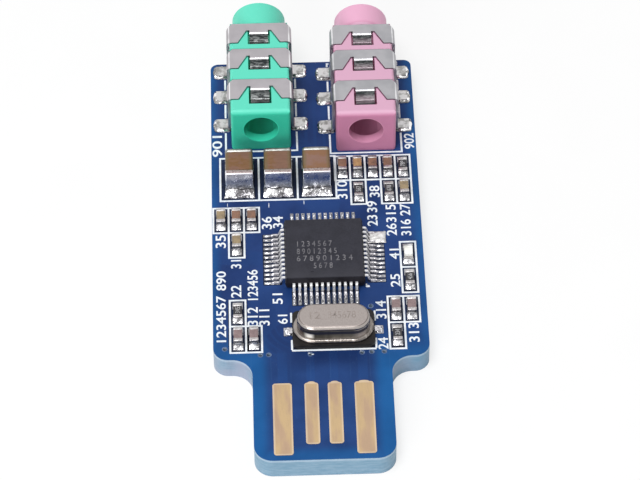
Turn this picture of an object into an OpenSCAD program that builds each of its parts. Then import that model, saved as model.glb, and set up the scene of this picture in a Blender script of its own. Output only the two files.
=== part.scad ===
// USB sound card: a bare circuit board whose tongue is its own USB plug, with a sound chip,
// its crystal, chip capacitors and resistors, a light and two 3.5 mm audio jacks.
// X runs across the board, Y from the USB tongue towards the jacks, Z up. The origin is on
// the underside, below the middle of the whole card. Inside the modules, y is measured from
// the tongue's front edge and z from the board's upper face.

/* [Board] */
// Width of the board behind the tongue
board_w = 18.7; // [16.8:0.1:22]
// Length of the board behind the tongue's shoulder
body_l = 35.4; // [31.9:0.1:42]
// Thickness of the board
board_t = 2.2; // [1.4:0.1:2.6]
// Radius of the two corners at the shoulder
shoulder_r = 1.3; // [0.4:0.1:1.5]
// Radius of the two corners at the jack end
end_r = 0.7; // [0.2:0.1:1]
// Diameter of the plated through holes
via_d = 0.35; // [0.2:0.05:0.5]

/* [USB tongue] */
// Width of the tongue that enters the USB socket
tongue_w = 12; // [11.6:0.1:12.2]
// Length of the tongue in front of the shoulder
tongue_l = 10.9; // [10.2:0.1:13]
// Radius of the tongue's front corners
tongue_tip_r = 1.6; // [0.4:0.1:2]
// Radius of the inner corners where the tongue meets the shoulder
tongue_root_r = 1.8; // [0.4:0.1:2]

/* [USB contacts] */
// Distance between the centres of the two outer contacts
outer_contact_pitch = 7; // [6.8:0.1:7.4]
// Distance between the centres of the two inner contacts
inner_contact_pitch = 2; // [1.8:0.1:2.2]
// Width of an outer contact
outer_contact_w = 1.65; // [1:0.05:2]
// Width of an inner contact
inner_contact_w = 1.2; // [0.8:0.05:1.4]
// Distance of the outer contacts from the tongue's front edge
outer_contact_setback = 0.5; // [0.3:0.1:1.5]
// Distance of the inner contacts from the tongue's front edge
inner_contact_setback = 1.6; // [0.5:0.1:3]
// Distance of the contacts' rear ends from the tongue's front edge
contact_end = 8.15; // [7:0.05:9]
// Corner radius of the contacts
contact_r = 0.25; // [0.1:0.05:0.45]

/* [Sound chip] */
// Side of the chip's square body
chip_w = 7; // [6.6:0.1:7.2]
// Height of the chip's body
chip_h = 1.3; // [1:0.1:1.8]
// Gap under the chip's body
chip_standoff = 0.1; // [0.05:0.05:0.2]
// How far the body's sides lean in towards the upper and lower face
chip_draft = 0.14; // [0.05:0.01:0.25]

/* [Chip leads] */
// Leads on each side of the chip
leads_per_side = 12; // [4:1:12]
// Distance between the centres of neighbouring leads
lead_pitch = 0.5; // [0.4:0.05:0.55]
// Width of a lead
lead_w = 0.22; // [0.12:0.01:0.28]
// Thickness of the lead sheet
lead_t = 0.13; // [0.1:0.01:0.18]
// How far the leads reach out from the body
lead_reach = 1; // [0.8:0.05:1.1]
// Length of the flat foot at the end of a lead
lead_foot = 0.5; // [0.3:0.05:0.55]
// Bend radius of the leads
lead_bend_r = 0.12; // [0.08:0.01:0.14]
// Length of pad that shows beyond a lead's toe
lead_pad_tail = 0.83; // [0.3:0.01:0.9]

/* [Crystal] */
// Length of the crystal can's flange
crystal_l = 7.05; // [6:0.05:8]
// Width of the crystal can's flange
crystal_w = 3.65; // [3:0.05:3.8]
// Height of the can above its base
crystal_h = 1.65; // [1.2:0.05:3]
// Thickness of the can's flange
flange_t = 0.35; // [0.2:0.05:0.6]
// How far the flange stands out from the can's wall
flange_rim = 0.36; // [0.2:0.02:0.5]
// Rounding of the can's upper edge
can_edge_r = 0.3; // [0.1:0.05:0.45]
// Thickness of the plastic base
crystal_base_t = 0.45; // [0.3:0.05:0.8]
// Margin of the plastic base around the flange's ends
crystal_base_margin = 0.04; // [0:0.01:0.15]
// Margin of the plastic base along the flange's sides
crystal_base_side = 0.15; // [0.05:0.05:0.3]
// Thickness of the crystal's two leads
crystal_lead_t = 0.2; // [0.1:0.05:0.3]
// Width of the crystal's two leads
crystal_lead_w = 0.6; // [0.3:0.05:1]
// How far the crystal's leads stand out from the base
crystal_lead_reach = 0.5; // [0.3:0.05:0.6]

/* [Large capacitors] */
// Width of a large capacitor
large_w = 2.5; // [1.6:0.1:2.7]
// Length of a large capacitor
large_l = 3.2; // [2.6:0.1:3.4]
// Height of a large capacitor
large_h = 2.5; // [1:0.1:3]
// Length of a large capacitor's metal ends
large_band = 0.55; // [0.3:0.05:0.8]
// Edge radius of a large capacitor
large_edge_r = 0.12; // [0.05:0.01:0.2]

/* [Small parts] */
// Width of the small capacitors and resistors
small_w = 0.8; // [0.5:0.05:0.9]
// Length of the small capacitors and resistors
small_l = 1.6; // [1.2:0.05:1.7]
// Height of a small capacitor
capacitor_h = 0.8; // [0.4:0.05:0.9]
// Height of a resistor
resistor_h = 0.45; // [0.3:0.05:0.6]
// Length of the metal ends of the small parts
small_band = 0.34; // [0.2:0.02:0.5]
// Thickness of the metal on the ends of every chip part
end_metal_t = 0.03; // [0.02:0.01:0.04]

/* [Light] */
// Height of the light's base plate
led_base_h = 0.25; // [0.15:0.05:0.4]
// Height of the light's moulded lens
led_lens_h = 0.4; // [0.2:0.05:0.6]
// Length of the light's lens
led_lens_l = 1.05; // [0.8:0.05:1.1]

/* [Rows along the board] */
// Least gap between the shoulder and the crystal's base
crystal_gap = 0.15; // [0.1:0.05:0.3]
// Least gap between the crystal's base and the chip's pads
chip_gap = 0.2; // [0.1:0.05:0.3]
// Least gap between the chip's pads and the pads of the large capacitors
large_gap = 0.4; // [0.35:0.05:0.6]
// Least gap between the pads of the large capacitors and the speaker jack
jack_gap = 1; // [0.9:0.05:1.1]
// Share of the spare length that is added to the crystal's gap
crystal_share = 0.2183; // [0.15:0.01:0.25]
// Share of the spare length that is added to the chip's gap
chip_share = 0.2239; // [0.15:0.01:0.25]
// Share of the spare length that is added to the large capacitors' gap
large_share = 0.4507; // [0.4:0.01:0.5]
// How much nearer to the shoulder the first row of small parts sits than the crystal
first_row_lead = 0.68; // [0.4:0.02:0.8]
// Gap between the print frames of the small parts beside the chip
frame_gap = 0.4; // [0.2:0.05:0.6]
// Gap between the frames of the left rows and those of the large capacitors
left_row_gap = 0.87; // [0.3:0.01:1]
// Gap between the upper rows' pads and the microphone jack
upper_row_gap = 0.97; // [0.8:0.01:1.1]

/* [Places across the board] */
// Sideways place of the chip, as a share of the board's width
chip_shift = 0.0289; // [0:0.001:0.04]
// Sideways place of the crystal, as a share of the board's width
crystal_shift = 0.0588; // [0.04:0.001:0.07]
// Share of the spare width that lies left of the large capacitors
left_share = 0.1778; // [0.15:0.005:0.19]
// Share of the spare width in each gap between two large capacitors
large_gap_share = 0.1361; // [0.12:0.002:0.14]
// Share of the spare width in each gap between two small parts
small_gap_share = 0.0792; // [0.07:0.001:0.081]
// Share of the spare width that lies right of the small parts
right_share = 0.1333; // [0.1:0.005:0.15]
// Room between the left rows' print and the board's edge
print_edge_room = 0.03; // [0.02:0.01:0.1]
// Room between the jacks' outer feet and the board's edges
jack_edge_room = 0.515; // [0.4:0.005:0.6]
// Least room beside the jacks' feet, in the board's middle and at its edges
jack_least_room = 0.25; // [0.25:0.01:0.35]

/* [Audio jacks] */
// Width of a jack's plastic body
jack_w = 5.4; // [5:0.1:5.6]
// Height of a jack's plastic body
jack_h = 4.9; // [4.8:0.1:5.6]
// Length of a jack's plastic body without its nozzle
jack_l = 11.4; // [11.3:0.1:12]
// Edge radius of a jack's plastic body
jack_edge_r = 0.25; // [0.1:0.05:0.4]
// Radius of the upper edge over a jack's rear face
jack_rear_edge_r = 0.45; // [0.1:0.05:0.6]
// Outer diameter of the nozzle
nozzle_d = 4.9; // [4.6:0.1:5]
// Length of the nozzle
nozzle_l = 2.55; // [1.6:0.05:3.5]
// How far the speaker jack's mouth stands out over the board's end
speaker_reach = 3.1; // [3:0.1:3.4]
// How far the microphone jack's mouth stands out over the board's end
microphone_reach = 2.6; // [2.5:0.1:3.1]
// Diameter of the locating pegs under a jack
peg_d = 1.1; // [0.8:0.1:1.4]
// Length of the locating pegs
peg_l = 1; // [0.6:0.1:1.3]
// Clearance around a locating peg in its hole
peg_clearance = 0.05; // [0.02:0.01:0.1]

/* [Jack bores] */
// Bore of the nozzle that guides the 3.5 mm plug
bore_d = 3.6; // [3.5:0.05:3.8]
// Depth of the guiding bore behind the mouth
bore_l = 3.4; // [2:0.1:3.5]
// Bore of the chamber behind it
chamber_d = 3.95; // [3.9:0.05:4.1]
// Hole in the rear wall for the plug's tip
rear_hole_d = 3.15; // [2.6:0.05:3.4]
// How far the rear hole's centre lies above the bore's
rear_hole_rise = 0.15; // [0:0.05:0.2]
// Thickness of the rear wall
rear_wall_t = 0.9; // [0.6:0.05:1]
// Chamfer at the mouth
mouth_chamfer = 0.15; // [0.1:0.05:0.3]

/* [Jack contacts] */
// Thickness of the contact sheet
sheet_t = 0.25; // [0.15:0.01:0.3]
// Clearance between a contact's sides and the plastic
sheet_gap = 0.05; // [0.02:0.01:0.08]
// How far a band stands out over the plastic that it is let into
band_proud = 0.05; // [0.02:0.01:0.1]
// Clearance around a band in its recess
recess_gap = 0.08; // [0.04:0.01:0.12]
// Bend radius of the contact sheet
sheet_bend_r = 0.3; // [0.2:0.05:0.4]
// Distance of the tip contact from the jack's rear face
tip_contact_y = 1.68; // [1.5:0.01:1.8]
// Distance of the ring contact from the jack's rear face
ring_contact_y = 5.55; // [5.4:0.01:5.6]
// Distance of the sleeve contact from the jack's rear face
sleeve_contact_y = 8.8; // [8.7:0.01:8.9]
// Length of a contact's band along the jack
band_l = 2.42; // [2.2:0.01:2.45]
// Depth of the notch in a band
notch_l = 1.55; // [1.3:0.05:1.6]
// Width of the notch at its open side
notch_open_w = 3.94; // [3.4:0.02:4.2]
// Width of the notch at its closed side
notch_closed_w = 2.3; // [2.2:0.02:2.6]
// Slanted cut on a band's far corners
band_corner = 0.55; // [0.2:0.05:0.7]
// Width of a contact's legs and feet
leg_w = 1.15; // [0.8:0.05:1.3]
// How far a contact's feet stand out from its legs
foot_l = 1.2; // [0.8:0.05:1.2]
// Width of the spring tongue
spring_w = 1.7; // [1.2:0.05:1.75]
// Width of the window that the spring tongue works in
window_w = 2.04; // [1.9:0.02:2.2]
// Length of the windows of the ring and sleeve contacts
window_l = 1.75; // [1.6:0.05:1.85]
// Extra length of the tip contact's window
tip_window_extra = 0.4; // [0:0.05:0.5]
// How far a spring tongue dips into the bore
spring_dip = 0.25; // [0.1:0.05:0.35]
// How far a spring tongue's free end turns up again
spring_lift = 0.5; // [0.3:0.05:0.6]

/* [Solder and print] */
// Thickness of the copper pads
copper_t = 0.05; // [0.03:0.01:0.07]
// Thickness of the white print
print_t = 0.03; // [0.02:0.01:0.04]
// Width of the white lines
line_w = 0.17; // [0.1:0.01:0.18]
// How far a pad shows beyond a small part's end
pad_tail = 0.4; // [0.2:0.02:0.44]
// How far a pad shows beyond a large capacitor's end
large_tail = 0.72; // [0.4:0.02:0.76]
// How far a jack's pads show around its feet
pad_margin = 0.22; // [0.1:0.01:0.25]
// Room between a pad's end and the print frame's line
frame_room = 0.18; // [0.1:0.01:0.2]

/* [Hidden] */
JACK_PIECES = ["housing", "tip_contact", "ring_contact", "sleeve_contact"];

$fn = 64;
// Overshoot of every cutting shape
cut = 0.1;

// The whole card
board_l = tongue_l + body_l;
card_l = board_l + max(speaker_reach, microphone_reach);
root_fillet_r = min(tongue_root_r, (board_w - tongue_w) / 2 - shoulder_r);

// Jacks
jack_body_end = jack_l + nozzle_l;
function jack_rear(reach) = board_l + reach - jack_body_end;
leg_x = jack_w / 2 + sheet_gap + sheet_t / 2;
foot_out = min(foot_l, board_w / 4 - leg_x - jack_least_room);
toe_x = leg_x + foot_out;
jack_x = max(board_w / 2 - toe_x - jack_edge_room, toe_x + jack_least_room);
jack_at = [[-jack_x, jack_rear(speaker_reach)], [jack_x, jack_rear(microphone_reach)]];
axis_z = nozzle_d / 2;
contact_y = [tip_contact_y, ring_contact_y, sleeve_contact_y];
function window_length(n) = window_l + (n == 0 ? tip_window_extra : 0);
peg_y = [1.2, jack_l - 3];
// Each contact's feet stand this far behind its band's near edge
foot_shift = [1.3, 1, 0.9];
// The legs narrow between these two heights, as shares of a contact's height
leg_wide_share = 0.62;
leg_narrow_share = 0.5;

// Room between a jack's contacts and its print frame, and the frame's distance from what it ends at
jack_frame_room = 0.25;
jack_frame_setback = 0.3;

// Rows along the board: crystal, chip and large capacitors share what length is spare
crystal_base_size = [crystal_l + 2 * crystal_base_margin, crystal_w + 2 * crystal_base_side];
chip_reach = chip_w / 2 + lead_reach + lead_pad_tail;
large_reach = large_l / 2 + large_tail;
rows_l = crystal_base_size.y + 2 * chip_reach + 2 * large_reach;
least_gaps = crystal_gap + chip_gap + large_gap + jack_gap;
spare_l = jack_at[0].y - tongue_l - rows_l - least_gaps;
crystal_front = tongue_l + crystal_gap + crystal_share * spare_l;
chip_front = crystal_front + crystal_base_size.y + chip_gap + chip_share * spare_l;
large_front = chip_front + 2 * chip_reach + large_gap + large_share * spare_l;
crystal_at = [board_w * crystal_shift, crystal_front + crystal_base_size.y / 2];
chip_at = [board_w * chip_shift, chip_front + chip_reach];

// Places across the board: large capacitors and small parts share what width is spare
spare_w = board_w - 3 * large_w - 5 * small_w;
large_pitch = large_w + large_gap_share * spare_w;
small_pitch = small_w + small_gap_share * spare_w;
large_x = -board_w / 2 + left_share * spare_w + large_w / 2;
right_inset = right_share * spare_w + small_w / 2;
left_inset = small_pitch / 2 + line_w / 2 + print_edge_room;
large_frame = [large_pitch, 2 * (large_reach + frame_room) + line_w];
large_places = [for (n = [0:2]) [large_x + n * large_pitch, large_front + large_reach]];

// Places of the small parts: columns count inwards from each side edge
function right_column(n) = board_w / 2 - right_inset - n * small_pitch;
function left_column(n) = -board_w / 2 + left_inset + n * small_pitch;
frame_l = small_l + 2 * (pad_tail + frame_room) + line_w;
row_1 = max(crystal_at.y - first_row_lead, tongue_l + frame_l / 2 + line_w);
row_2 = row_1 + frame_l;
row_3 = row_2 + frame_l + frame_gap;
row_4 = row_3 + frame_l;
left_row = large_places[0].y - (large_frame.y + frame_l) / 2 - left_row_gap;
side_row = left_row - frame_l;
top_row = jack_at[1].y - upper_row_gap - pad_tail - small_l / 2;
upper_row = top_row - frame_l;
capacitor_places = [
    [left_column(1), row_1], [left_column(2), row_1], [right_column(1), row_2], [right_column(0), row_2],
    [left_column(1), side_row], [left_column(0), left_row], [left_column(1), left_row],
    [left_column(2), left_row], [right_column(4), top_row], [right_column(3), top_row],
    [right_column(2), top_row], [right_column(1), top_row], [right_column(0), upper_row]
];
resistor_places = [
    [right_column(1), row_1], [left_column(1), row_2], [right_column(0), row_3],
    [right_column(3), upper_row], [right_column(1), upper_row], [right_column(0), top_row]
];
led_place = [right_column(0), row_4];
small_places = concat(capacitor_places, resistor_places, [led_place]);

// Chip
lead_exit_z = chip_standoff + chip_h / 2;
pin_dot_at = [-1.1, -2.8];
pin_dot_d = 0.3;
pin_dot_depth = 0.04;

// Plated through holes: one at the left edge, one beside the chip's pads, and six behind the
// USB contacts, whose places across are shares of the tongue's width
root_holes = [[-0.44, 0.45], [-0.38, 0.45], [-0.08, 0.4], [0.29, 0.45], [0.36, 0.5], [0.45, 0.5]];
via_places = [
    [-board_w / 2 + 1, tongue_l + 1.2],
    [chip_at.x + chip_w / 2 + 0.4, chip_front - 0.27],
    for (hole = root_holes) [tongue_w * hole.x, tongue_l + hole.y]
];

function unit(v) = v / norm(v);
function left_of(v) = [-v.y, v.x];

// The points of a bend at b between a and c, with its middle line at radius r
function bend_points(a, b, c, r, steps) =
    let (
        into = unit(b - a),
        out = unit(c - b),
        turn = atan2(into.x * out.y - into.y * out.x, into * out),
        side = turn > 0 ? 1 : -1,
        from = b - into * r * tan(abs(turn) / 2),
        middle = from + left_of(into) * r * side
    )
    [for (i = [0:steps])
        let (w = turn * i / steps, spoke = from - middle)
        middle + [spoke.x * cos(w) - spoke.y * sin(w), spoke.x * sin(w) + spoke.y * cos(w)]];

// A path with every inner corner bent to radius r
function bent_path(p, r, steps) = concat(
    [p[0]],
    [for (i = [1:len(p) - 2]) each bend_points(p[i - 1], p[i], p[i + 1], r, steps)],
    [p[len(p) - 1]]
);

// A path moved sideways by d
function beside(p, d) = [
    for (i = [0:len(p) - 1])
        let (
            into = unit(p[max(i, 1)] - p[max(i, 1) - 1]),
            out = unit(p[min(i, len(p) - 2) + 1] - p[min(i, len(p) - 2)]),
            across = left_of(into) + left_of(out)
        )
        p[i] + across * d * 2 / (across * across)
];

// The outline of a sheet of thickness t along a path
function sheet_outline(p, t) = concat(
    beside(p, t / 2),
    let (back = beside(p, -t / 2)) [for (i = [len(back) - 1:-1:0]) back[i]]
);

// A strip of sheet bent along a path in the plane of x and z, of width w along y
module bent_strip(path, r, t, w, steps = 6) {
    rotate([90, 0, 0])
    linear_extrude(w, center = true)
    polygon(sheet_outline(bent_path(path, r, steps), t));
}

// The material between a square corner and the arc that rounds it
module corner_web(r) {
    difference() {
        translate([-cut, -cut]) square(r + cut);
        translate([r, r]) circle(r);
    }
}

// A rectangle with four round corners, centred
module round_rectangle(size, r) {
    difference() {
        square(size, center = true);
        for (k = [0:3])
            rotate(90 * k)
            translate(-(k % 2 == 0 ? size : [size.y, size.x]) / 2)
            corner_web(r);
    }
}

// Puts what is drawn on the board's upper face into the card's frame
module on_board(z = 0) {
    translate([0, -card_l / 2, board_t + z]) children();
}

// A square-edged block whose base stands on z = 0, centred in x and y
module block(size) {
    translate([0, 0, size.z / 2]) cube(size, center = true);
}

module board_outline() {
    difference() {
        union() {
            translate([-board_w / 2, tongue_l]) square([board_w, body_l]);
            translate([-tongue_w / 2, 0]) square([tongue_w, tongue_l + cut]);
            translate([tongue_w / 2, tongue_l]) rotate(-90) corner_web(root_fillet_r);
            translate([-tongue_w / 2, tongue_l]) rotate(180) corner_web(root_fillet_r);
        }
        translate([-tongue_w / 2, 0]) corner_web(tongue_tip_r);
        translate([tongue_w / 2, 0]) rotate(90) corner_web(tongue_tip_r);
        translate([-board_w / 2, tongue_l]) corner_web(shoulder_r);
        translate([board_w / 2, tongue_l]) rotate(90) corner_web(shoulder_r);
        translate([board_w / 2, board_l]) rotate(180) corner_web(end_r);
        translate([-board_w / 2, board_l]) rotate(270) corner_web(end_r);
    }
}

module circuit_board() {
    color("royalblue")
    translate([0, -card_l / 2, 0])
    difference() {
        linear_extrude(board_t) board_outline();
        for (place = via_places)
            translate([place.x, place.y, -cut]) cylinder(d = via_d, h = board_t + 2 * cut);
        for (jack = jack_at, y = peg_y)
            translate([jack.x, jack.y + y, -cut])
            cylinder(d = peg_d + 2 * peg_clearance, h = board_t + 2 * cut);
    }
}

// One USB contact with the short trace that leaves its rear end
module usb_contact(x, w, setback) {
    length = contact_end - setback;
    color("burlywood")
    on_board()
    linear_extrude(copper_t)
    union() {
        translate([x, setback + length / 2]) round_rectangle([w, length], contact_r);
        translate([x - w / 8, contact_end - contact_r]) square([w / 4, contact_r + 0.35]);
    }
}

module usb_contact_1() usb_contact(-outer_contact_pitch / 2, outer_contact_w, outer_contact_setback);
module usb_contact_2() usb_contact(-inner_contact_pitch / 2, inner_contact_w, inner_contact_setback);
module usb_contact_3() usb_contact(inner_contact_pitch / 2, inner_contact_w, inner_contact_setback);
module usb_contact_4() usb_contact(outer_contact_pitch / 2, outer_contact_w, outer_contact_setback);

// A bar whose ends lean in above and below the level where the leads leave
module drafted_bar() {
    half = chip_w / 2;
    level = chip_h / 2;
    rotate([90, 0, 0])
    linear_extrude(chip_w + cut, center = true)
    polygon([
        [-half + chip_draft, 0], [half - chip_draft, 0],
        [half, level - lead_t / 2], [half, level + lead_t / 2],
        [half - chip_draft, chip_h], [-half + chip_draft, chip_h],
        [-half, level + lead_t / 2], [-half, level - lead_t / 2]
    ]);
}

module chip_body() {
    color("darkslategray")
    on_board(copper_t + chip_standoff)
    translate(chip_at)
    difference() {
        intersection() {
            drafted_bar();
            rotate(90) drafted_bar();
        }
        translate([pin_dot_at.x, pin_dot_at.y, chip_h - pin_dot_depth])
        cylinder(d = pin_dot_d, h = pin_dot_depth + cut);
    }
}

// Draws its child at every lead's place, with x pointing out of the chip
module at_chip_leads() {
    translate(chip_at)
    for (side = [0:3], n = [0:leads_per_side - 1])
        rotate(90 * side)
        translate([0, (n - (leads_per_side - 1) / 2) * lead_pitch])
        children();
}

// Each gull-wing lead leaves the body level, bends down and ends in a flat foot
module chip_leads() {
    half = chip_w / 2;
    toe = half + lead_reach;
    heel = toe - lead_foot;
    color("gainsboro")
    on_board(copper_t)
    at_chip_leads()
    bent_strip(
        [[half, lead_exit_z], [(half + heel) / 2, lead_exit_z], [heel, lead_t / 2], [toe, lead_t / 2]],
        lead_bend_r, lead_t, lead_w, steps = 3
    );
}

module chip_pads() {
    pad_l = lead_foot + lead_pad_tail;
    color("silver")
    on_board()
    at_chip_leads()
    translate([chip_w / 2 + lead_reach - lead_foot + pad_l / 2, 0])
    block([pad_l, lead_w + 0.06, copper_t]);
}

// A body with two round ends, turned from the half outline that its child draws
module round_ended(middle_l) {
    for (side = [0, 180])
        rotate(side)
        translate([middle_l / 2, 0])
        rotate(-90)
        rotate_extrude(angle = 180) children();
    rotate([90, 0, 90])
    linear_extrude(middle_l, center = true)
    union() {
        children();
        mirror([1, 0]) children();
    }
}

module crystal_can() {
    flange_r = crystal_w / 2;
    can_r = flange_r - flange_rim;
    color("rosybrown")
    on_board(copper_t + crystal_base_t)
    translate(crystal_at)
    round_ended(crystal_l - crystal_w)
    difference() {
        union() {
            square([flange_r, flange_t]);
            square([can_r, crystal_h]);
        }
        translate([flange_r, flange_t]) rotate(180) corner_web(flange_t * 0.6);
        translate([can_r, crystal_h]) rotate(180) corner_web(can_edge_r);
    }
}

module crystal_base() {
    color("black")
    on_board(copper_t)
    translate(crystal_at)
    linear_extrude(crystal_base_t)
    round_rectangle(crystal_base_size, 0.2);
}

module crystal_leads() {
    color("silver")
    on_board(copper_t)
    translate(crystal_at)
    for (side = [-1, 1])
        translate([side * (crystal_base_size.x + crystal_lead_reach) / 2, 0])
        block([crystal_lead_reach, crystal_lead_w, crystal_lead_t]);
}

// A chip part's core, which ends inside its two metal ends
module chip_core(w, l, h) {
    translate([0, 0, end_metal_t])
    block([w - 2 * end_metal_t, l - 2 * end_metal_t, h - 2 * end_metal_t]);
}

// The two metal ends of a chip part: open boxes that close over the core
module chip_ends(w, l, h, band) {
    difference() {
        union() {
            for (side = [-1, 1])
                translate([0, side * (l - band) / 2, 0]) block([w, band, h]);
        }
        chip_core(w, l, h);
    }
}

// A block with every edge rounded: what three rounded bars that cross have in common
module rounded_block(size, r) {
    translate([0, 0, size.z / 2])
    intersection() {
        linear_extrude(size.z, center = true) round_rectangle([size.x, size.y], r);
        rotate([90, 0, 0]) linear_extrude(size.y, center = true) round_rectangle([size.x, size.z], r);
        rotate([90, 0, 90]) linear_extrude(size.x, center = true) round_rectangle([size.y, size.z], r);
    }
}

module large_core() {
    inset = 2 * end_metal_t;
    translate([0, 0, end_metal_t])
    rounded_block([large_w - inset, large_l - inset, large_h - inset], large_edge_r);
}

module large_capacitor(n) {
    color("peru")
    on_board(copper_t)
    translate(large_places[n])
    large_core();
}

module large_capacitor_ends() {
    color("lightgray")
    on_board(copper_t)
    for (place = large_places)
        translate(place)
        difference() {
            rounded_block([large_w, large_l, large_h], large_edge_r);
            block([large_w + cut, large_l - 2 * large_band, 3 * large_h]);
            large_core();
        }
}

module capacitor(n) {
    color("sienna")
    on_board(copper_t)
    translate(capacitor_places[n])
    chip_core(small_w, small_l, capacitor_h);
}

module capacitor_ends() {
    color("lightgray")
    on_board(copper_t)
    for (place = capacitor_places)
        translate(place) chip_ends(small_w, small_l, capacitor_h, small_band);
}

module resistor(n) {
    color("dimgray")
    on_board(copper_t)
    translate(resistor_places[n])
    chip_core(small_w, small_l, resistor_h);
}

module resistor_ends() {
    color("lightgray")
    on_board(copper_t)
    for (place = resistor_places)
        translate(place) chip_ends(small_w, small_l, resistor_h, small_band);
}

module led_base() {
    color("white")
    on_board(copper_t)
    translate(led_place)
    chip_core(small_w, small_l, led_base_h);
}

// The lens is a bar with leaning ends, moulded onto the base between its metal ends
module led_lens() {
    half = led_lens_l / 2;
    foot = small_l / 2 - small_band;
    lens_w = small_w - 2 * end_metal_t;
    color("ivory")
    on_board(copper_t + led_base_h - end_metal_t)
    translate(led_place)
    rotate([90, 0, 90])
    linear_extrude(lens_w, center = true)
    polygon([
        [-foot, 0], [foot, 0], [foot, end_metal_t],
        [half - 0.05, led_lens_h], [-half + 0.05, led_lens_h], [-foot, end_metal_t]
    ]);
}

module led_ends() {
    color("lightgray")
    on_board(copper_t)
    translate(led_place)
    chip_ends(small_w, small_l, led_base_h, small_band);
}

// A contact's notch, or with a gap the land of plastic that stands in it
module notch_outline(gap = 0) {
    open = notch_open_w / 2 - gap;
    closed = notch_closed_w / 2 - gap;
    polygon([[-open, 0], [open, 0], [closed, notch_l - gap], [-closed, notch_l - gap]]);
}

module jack_bores() {
    translate([0, -cut, axis_z + rear_hole_rise])
    rotate([-90, 0, 0])
    cylinder(d = rear_hole_d, h = rear_wall_t + 2 * cut);
    translate([0, 0, axis_z])
    rotate([-90, 0, 0]) {
        translate([0, 0, rear_wall_t]) cylinder(d = chamber_d, h = jack_body_end - bore_l - rear_wall_t);
        translate([0, 0, rear_wall_t + cut]) cylinder(d = bore_d, h = jack_body_end);
        translate([0, 0, jack_body_end - mouth_chamfer])
        cylinder(d1 = bore_d, d2 = bore_d + 2 * mouth_chamfer, h = mouth_chamfer);
        translate([0, 0, jack_body_end]) cylinder(d = bore_d + 2 * mouth_chamfer, h = cut);
    }
}

// The recess that a contact's band lies in, around the land that fills its notch
module band_recess(y) {
    translate([0, y, jack_h + band_proud - sheet_t])
    linear_extrude(sheet_t + cut)
    difference() {
        translate([-jack_w, -recess_gap]) square([2 * jack_w, band_l + 2 * recess_gap]);
        translate([0, -recess_gap]) notch_outline(recess_gap);
    }
}

// A jack's plastic body, whose upper edge over the rear face is the roundest
module jack_block() {
    intersection() {
        translate([0, jack_l / 2, 0]) linear_extrude(jack_h) round_rectangle([jack_w, jack_l], jack_edge_r);
        translate([0, jack_l / 2, jack_h / 2])
        rotate([90, 0, 0])
        linear_extrude(jack_l, center = true)
        round_rectangle([jack_w, jack_h], jack_edge_r);
        rotate([90, 0, 90])
        linear_extrude(jack_w, center = true)
        difference() {
            square([jack_l, jack_h]);
            translate([0, jack_h]) rotate(-90) corner_web(jack_rear_edge_r);
            translate([jack_l, jack_h]) rotate(180) corner_web(jack_edge_r);
        }
    }
}

// A moulded body with a round nozzle, a stepped bore from end to end, a recess for each
// contact's band, a window for each spring tongue and two pegs below
module jack_housing(place) {
    on_board()
    translate(place)
    difference() {
        union() {
            jack_block();
            translate([0, jack_l - cut, axis_z])
            rotate([-90, 0, 0])
            cylinder(d = nozzle_d, h = nozzle_l + cut);
            for (y = peg_y)
                translate([0, y, -peg_l]) cylinder(d = peg_d, h = peg_l + cut);
        }
        jack_bores();
        for (y = contact_y)
            band_recess(y);
        for (n = [0:2])
            translate([-window_w / 2, contact_y[n] + notch_l - window_length(n), axis_z])
            cube([window_w, window_length(n), jack_h]);
    }
}

// What is left of the sheet when it is seen from above
module band_outline() {
    difference() {
        translate([-toe_x, 0]) square([2 * toe_x, band_l]);
        translate([0, -cut]) notch_outline();
        notch_outline();
        for (side = [-1, 1])
            translate([side * (jack_w / 2 + sheet_gap + sheet_t), band_l])
            rotate(45)
            square(band_corner * sqrt(2), center = true);
    }
}

// What is left of the sheet when it is seen from the side: a band that narrows to a leg
module leg_outline(foot_y) {
    top = jack_h + band_proud;
    far = band_l - band_corner;
    polygon([
        [0, top + cut], [band_l, top + cut], [band_l, top - sheet_t], [far, top - sheet_t],
        [far, top * leg_wide_share], [foot_y + leg_w / 2, top * leg_narrow_share],
        [foot_y + leg_w / 2, -cut], [foot_y - leg_w / 2, -cut],
        [foot_y - leg_w / 2, top * leg_narrow_share], [0, top * leg_wide_share]
    ]);
}

// One contact: a sheet folded over the body down to a foot on each side, with a spring tongue
// cut from the band's middle that dips through the window and turns up again at its free end
module jack_contact(place, n) {
    foot_z = copper_t + sheet_t / 2;
    top_z = jack_h + band_proud - sheet_t / 2;
    touch_z = axis_z + bore_d / 2 - spring_dip + sheet_t / 2;
    run = window_length(n);
    fold = [
        [-toe_x, foot_z], [-leg_x, foot_z], [-leg_x, top_z],
        [leg_x, top_z], [leg_x, foot_z], [toe_x, foot_z]
    ];
    color("silver")
    on_board()
    translate([place.x, place.y + contact_y[n], 0])
    union() {
        intersection() {
            translate([0, band_l / 2, 0])
            bent_strip(fold, sheet_bend_r, sheet_t, band_l);
            linear_extrude(jack_h + 2 * sheet_t) band_outline();
            rotate([90, 0, 90]) linear_extrude(2 * toe_x + cut, center = true) leg_outline(foot_shift[n]);
        }
        translate([0, notch_l, 0])
        rotate(90)
        bent_strip(
            [
                [0.3, top_z], [-0.28, top_z],
                [-0.3 - run * 0.35, touch_z], [0.2 - run, touch_z + spring_lift]
            ],
            sheet_t, sheet_t, spring_w
        );
    }
}

// A concave wedge of solder against a wall at y = 0, which runs out towards +y
module solder_wedge(w, reach, h) {
    rotate([90, 0, 90])
    linear_extrude(w, center = true)
    polygon([[0, 0], [reach, 0], [reach, h * 0.1], [reach * 0.35, h * 0.38], [0, h]]);
}

// Pads, and solder wedges, at both ends of a chip part
module pads_for(w, l, band, tail) {
    for (side = [0, 180])
        rotate(side)
        translate([0, l / 2 + (tail - band) / 2, 0])
        block([w, tail + band, copper_t]);
}

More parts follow.
